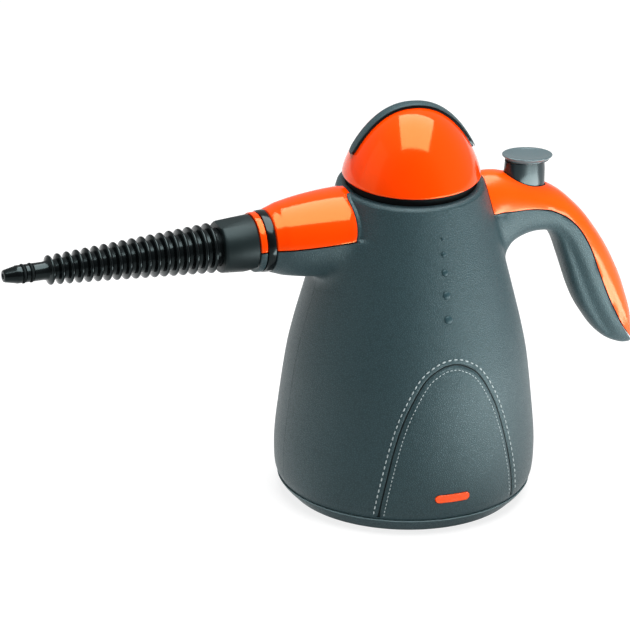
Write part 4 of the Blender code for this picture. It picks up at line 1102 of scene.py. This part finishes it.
class CLEANER_OT_base(bpy.types.Operator):
    """Builds the base plate, its feet, every visible screw, the pilot lamp's lens and the cord gland"""

    bl_idname = "cleaner.base"
    bl_label = "Base, lamp and gland"

    def execute(self, context):
        skins = "leather_grain_abs trimmed_edge_abs"
        place("base_plate", self.plate(), skins, "housing", ["base_plate"])
        line = [(0.0, 0.25), (4.4, 0.25), (4.8, 0.0), (6.3, 0.0)]
        line += [(6.8, 0.2), (7.0, 0.6), (7.0, 1.6), (0.0, 1.6)]
        for k, degrees in enumerate(FOOT_ANGLES, start=1):
            foot = moved(turned(line, 64), *on_screw_circle(degrees))
            place(f"foot_{k}", foot, "black_rubber", "housing", [f"foot_{k}"])
        for k, degrees in enumerate(BASE_SCREW_ANGLES, start=1):
            screw = screw_form((*on_screw_circle(degrees), BASE_SCREW_SEAT_Z), (0, 0, 1), 3.2, 2.2)
            place(f"base_screw_{k}", screw, "bright_steel", "housing", [f"base_screw_{k}"])
        for k, (x, z) in enumerate(SHELL_SCREWS, start=1):
            screw = screw_form((x, SHELL_SCREW_SEAT_Y, z), (0, -1, 0))
            place(f"shell_screw_{k}", screw, "bright_steel", "housing", [f"shell_screw_{k}"])
        place("lamp_lens", self.lens(), "lens_polycarbonate", "housing", ["lamp_lens"])
        place("cord_gland", self.gland(), "black_rubber", "housing", ["cord_gland"])
        return {"FINISHED"}

    def plate(self):
        """The dished plate with its bosses and wells. Its lip's lighter second finish is a painted highlight.
        """
        line = [
            (0.0, 0.8), (64.6, 0.8), (65.6, 1.1), (67.0, 2.5), (69.7, 5.2), (71.6, 7.4), (72.7, 9.0),
            (72.9, 9.3), (72.85, 9.55), (72.6, 9.7), (71.6, 9.75), (69.8, 9.4), (69.4, 13.0), (67.6, 13.0),
            (66.4, 6.2), (63.6, 3.2), (0.0, 3.2),
        ]
        cuts = [moved(rod(7.3, -2.0, 1.9, 64), *on_screw_circle(degrees)) for degrees in FOOT_ANGLES]
        bosses = []
        for degrees in BASE_SCREW_ANGLES:
            bosses.append(moved(rod(5.4, 2.0, 8.7), *on_screw_circle(degrees)))
            well = turned([(0.0, -2.0), (3.6, -2.0), (3.6, 4.6), (1.8, 4.6), (1.8, 20.0), (0.0, 20.0)], 48)
            cuts.append(moved(well, *on_screw_circle(degrees)))
        plate = cut(united(turned(line), joined(*bosses)), joined(*cuts))
        # The lip's top outer edge takes the lighter second finish, a painted highlight.
        for face in plate.faces:
            middle = face.calc_center_median()
            face.material_index = 1 if middle.z > 9.35 and middle.xy.length > 71.0 else 0
        return plate

    def lens(self):
        """The lens follows the housing's curve and stands a little proud of it."""
        lens = shared(prism(pill_outline(*LAMP_HALF, LAMP_Z), -80.0, -71.0), body_form(0.5))
        return rounded(lens, 1.1, 50.0, 4)

    def gland(self):
        """A flexible strain relief: a stub with shallow rings and a hole for the cord."""
        line = [(0.0, 64.0), (8.0, 64.0), (8.0, 68.0), (4.4, 69.0), (4.4, 74.4)]
        for start in (75.2, 76.7):
            line += [(4.4, start - 0.3), (4.05, start), (4.05, start + 0.4), (4.4, start + 0.7)]
        line += [(4.3, 78.2), (3.9, 78.6), (2.9, 78.6), (2.6, 78.3), (2.6, 71.0), (0.0, 71.0)]
        return along_x(turned(line, 64), GLAND_Z)


class CLEANER_OT_inner_parts(bpy.types.Operator):
    """Gives the pieces inside the housing the finish of what they are made of"""

    bl_idname = "cleaner.inner_parts"
    bl_label = "Finishes of inner parts"

    def execute(self, context):
        by_finish = {
            "satin_black_pa": ["cap_plug", "spout_tube"],
            "black_rubber": ["cap_gasket", "nozzle_seal"],
            "natural_nylon": ["lamp_holder", "rocker_lever", "terminal_block", "thermostat", "steam_pipe"],
            "spun_aluminium": ["boiler_tank"],
            "bright_steel": [
                "heater_ring", "thermal_fuse", "cap_spring", "relief_spring", "button_spring", "valve_spring",
                "valve_stem", "rocker_pin", "cap_snap_ring", "tank_screw_1", "tank_screw_2", "tank_screw_3",
            ],
            "turned_brass": ["relief_pin", "relief_nut", "valve_body"],
        }
        for finish_name, names in by_finish.items():
            for name in names:
                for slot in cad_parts[name].material_slots:
                    slot.material = finish(finish_name)
        return {"FINISHED"}


class CLEANER_OT_stage(bpy.types.Operator):
    """Sets up the floor, the soft boxes, the surroundings and the camera"""

    bl_idname = "cleaner.stage"
    bl_label = "Stage and camera"

    def execute(self, context):
        self.floor()
        self.world()
        above, below = (AXIS_X + 0.08, -0.09), (AXIS_X + 0.26, -0.32)
        self.light("overhead_softbox", (*above, 1.03), (*above, 0.0), (0.90, 1.14), 6.8, VIEW_AZIMUTH)
        self.light("low_reflector", (*below, 0.004), (*below, 1.0), (0.40, 0.40), 9.5, 50.0)
        self.light("side_panel", self.around(-75.0, 1.2, 0.45), (AXIS_X, 0.0, 0.15), (0.7, 1.2), 0.25)
        self.camera()
        context.scene.view_settings.view_transform = "Standard"
        return {"FINISHED"}

    def floor(self):
        """White paper to the eye. Reflections see it fall off into the dark in front of the object."""
        bm = bmesh.new()
        bmesh.ops.create_grid(bm, x_segments=8, y_segments=8, size=3.0)
        floor = object_of(mesh_of(bm, "studio_floor"), "studio_floor")
        material, tree, shader = surface("matt_white_paper", 0.9)
        shader.inputs["Base Color"].default_value = linear("#8C8C8C")
        shader.inputs["Specular IOR Level"].default_value = 0.0
        where = node(tree, "TexCoord", {}).outputs["Object"]
        where = node(tree, "VectorMath", {0: where, 1: (AXIS_X, 0.0, 0.0)}, operation="SUBTRACT").outputs[0]
        distance = node(tree, "VectorMath", {0: where}, operation="LENGTH").outputs["Value"]
        falling = {"Value": distance, "From Min": 0.14, "From Max": 0.4, "To Min": 1.1, "To Max": 0.1}
        pool = node(tree, "MapRange", falling, interpolation_type="SMOOTHSTEP")
        glow = node(tree, "Emission", {"Strength": self.shown(tree, where, 0.82, 0.95, pool.outputs[0])})
        both = node(tree, "AddShader", {0: shader.outputs[0], 1: glow.outputs[0]})
        tree.links.new(both.outputs[0], tree.nodes["Material Output"].inputs["Surface"])
        floor.data.materials.append(material)

    def shown(self, tree, where, seen, mirrored, fill):
        """One strength for the eye, one for reflections and one for the light that is given.

        Reflections see a studio that is dark on the camera's side and brighter round the rest of the object.
        """
        azimuth = math.radians(VIEW_AZIMUTH)
        away = (-math.sin(azimuth), math.cos(azimuth), 0.0)
        facing = node(tree, "VectorMath", {0: where}, operation="NORMALIZE").outputs[0]
        along = node(tree, "VectorMath", {0: facing, 1: away}, operation="DOT_PRODUCT").outputs["Value"]
        studio = node(
            tree, "MapRange",
            {"Value": along, "From Min": -0.9, "From Max": -0.3, "To Min": mirrored / 4, "To Max": mirrored},
            interpolation_type="SMOOTHSTEP",
        )
        path = node(tree, "LightPath", {}).outputs
        either = {0: path["Is Glossy Ray"], 1: path["Is Transmission Ray"]}
        glint = node(tree, "Math", either, operation="MAXIMUM")
        unseen = {"Factor": glint.outputs[0], "A": fill, "B": studio.outputs[0]}
        unseen = node(tree, "Mix", unseen, data_type="FLOAT").outputs[0]
        strength = {"Factor": path["Is Camera Ray"], "A": unseen, "B": seen}
        return node(tree, "Mix", strength, data_type="FLOAT").outputs[0]

    def world(self):
        """White to the eye all round, with the white backdrop's light on the far side only."""
        world = bpy.data.worlds.new("plain_studio")
        world.use_nodes = True
        tree = world.node_tree
        back = tree.nodes["Background"]
        back.inputs["Color"].default_value = (1.0, 1.0, 1.0, 1.0)
        where = node(tree, "TexCoord", {}).outputs["Generated"]
        tree.links.new(self.shown(tree, where, 1.0, 0.4, 0.1), back.inputs["Strength"])
        bpy.context.scene.world = world

    def light(self, name, spot, aim, size, brightness, turn=0.0):
        """A soft box of an even brightness, which the camera doesn't see. White is 1."""
        lamp = bpy.data.lights.new(name, "AREA")
        lamp.shape = "RECTANGLE"
        lamp.size, lamp.size_y = size
        lamp.energy = brightness * math.pi * size[0] * size[1]
        holder = object_of(lamp, name)
        holder.location = spot
        holder.rotation_mode = "QUATERNION"
        facing = (Vector(aim) - Vector(spot)).to_track_quat("-Z", "Y")
        holder.rotation_quaternion = facing @ Matrix.Rotation(math.radians(turn), 3, "Z").to_quaternion()
        holder.visible_camera = False

    def around(self, degrees, distance, height):
        """A place seen at this angle to the camera's right, from the object."""
        angle = math.radians(VIEW_AZIMUTH + degrees)
        return AXIS_X + distance * math.sin(angle), -distance * math.cos(angle), height

    def camera(self):
        """A long lens at the photograph's view."""
        azimuth, elevation, lean = (math.radians(a) for a in (VIEW_AZIMUTH, VIEW_ELEVATION, VIEW_LEAN))
        level = math.cos(elevation)
        back = Vector((math.sin(azimuth) * level, -math.cos(azimuth) * level, math.sin(elevation)))
        right = Vector((math.cos(azimuth), math.sin(azimuth), 0.0))
        up = back.cross(right)
        target = Vector((AXIS_X, 0.0, VIEW_HEIGHT)) + right * VIEW_RIGHT + up * VIEW_UP
        view_right = right * math.cos(lean) + up * math.sin(lean)
        view_up = up * math.cos(lean) - right * math.sin(lean)
        data = bpy.data.cameras.new("photo_view")
        data.lens = VIEW_LENS
        data.sensor_width = 36.0
        data.clip_start, data.clip_end = 1.0, 60.0
        camera = object_of(data, "photo_view")
        camera.location = target + back * VIEW_DISTANCE
        camera.rotation_mode = "QUATERNION"
        camera.rotation_quaternion = Matrix((view_right, view_up, back)).transposed().to_quaternion()
        bpy.context.scene.camera = camera


class CLEANER_PT_panel(bpy.types.Panel):
    """Lists the steps that build the cleaner"""

    bl_idname = "CLEANER_PT_panel"
    bl_label = "Steam Cleaner"
    bl_space_type = "VIEW_3D"
    bl_region_type = "UI"
    bl_category = "Steam Cleaner"

    def draw(self, context):
        layout = self.layout
        for step in STEPS:
            layout.operator(step.bl_idname)
        groups = settings()
        for group in (groups.colours, groups.cap, groups.nozzle, groups.seam):
            box = layout.box()
            for key in group.bl_rna.properties.keys():
                if key not in {"rna_type", "name"}:
                    box.prop(group, key)


STEPS = (
    CLEANER_OT_stage, CLEANER_OT_housing, CLEANER_OT_covers, CLEANER_OT_front_details, CLEANER_OT_cap,
    CLEANER_OT_nozzle, CLEANER_OT_button, CLEANER_OT_base, CLEANER_OT_inner_parts,
)
CLASSES = (CleanerColours, CapSizes, NozzleSizes, SeamSizes, CleanerSettings) + STEPS + (CLEANER_PT_panel,)


def register():
    for cls in CLASSES:
        bpy.utils.register_class(cls)
    bpy.types.Scene.steam_cleaner = PointerProperty(type=CleanerSettings)


def unregister():
    del bpy.types.Scene.steam_cleaner
    for cls in reversed(CLASSES):
        bpy.utils.unregister_class(cls)


def main():
    register()
    bpy.ops.cleaner.stage()
    bpy.ops.cleaner.housing()
    bpy.ops.cleaner.covers()
    bpy.ops.cleaner.front_details()
    bpy.ops.cleaner.cap()
    bpy.ops.cleaner.nozzle()
    bpy.ops.cleaner.button()
    bpy.ops.cleaner.base()
    bpy.ops.cleaner.inner_parts()


if __name__ == "__main__":
    main()
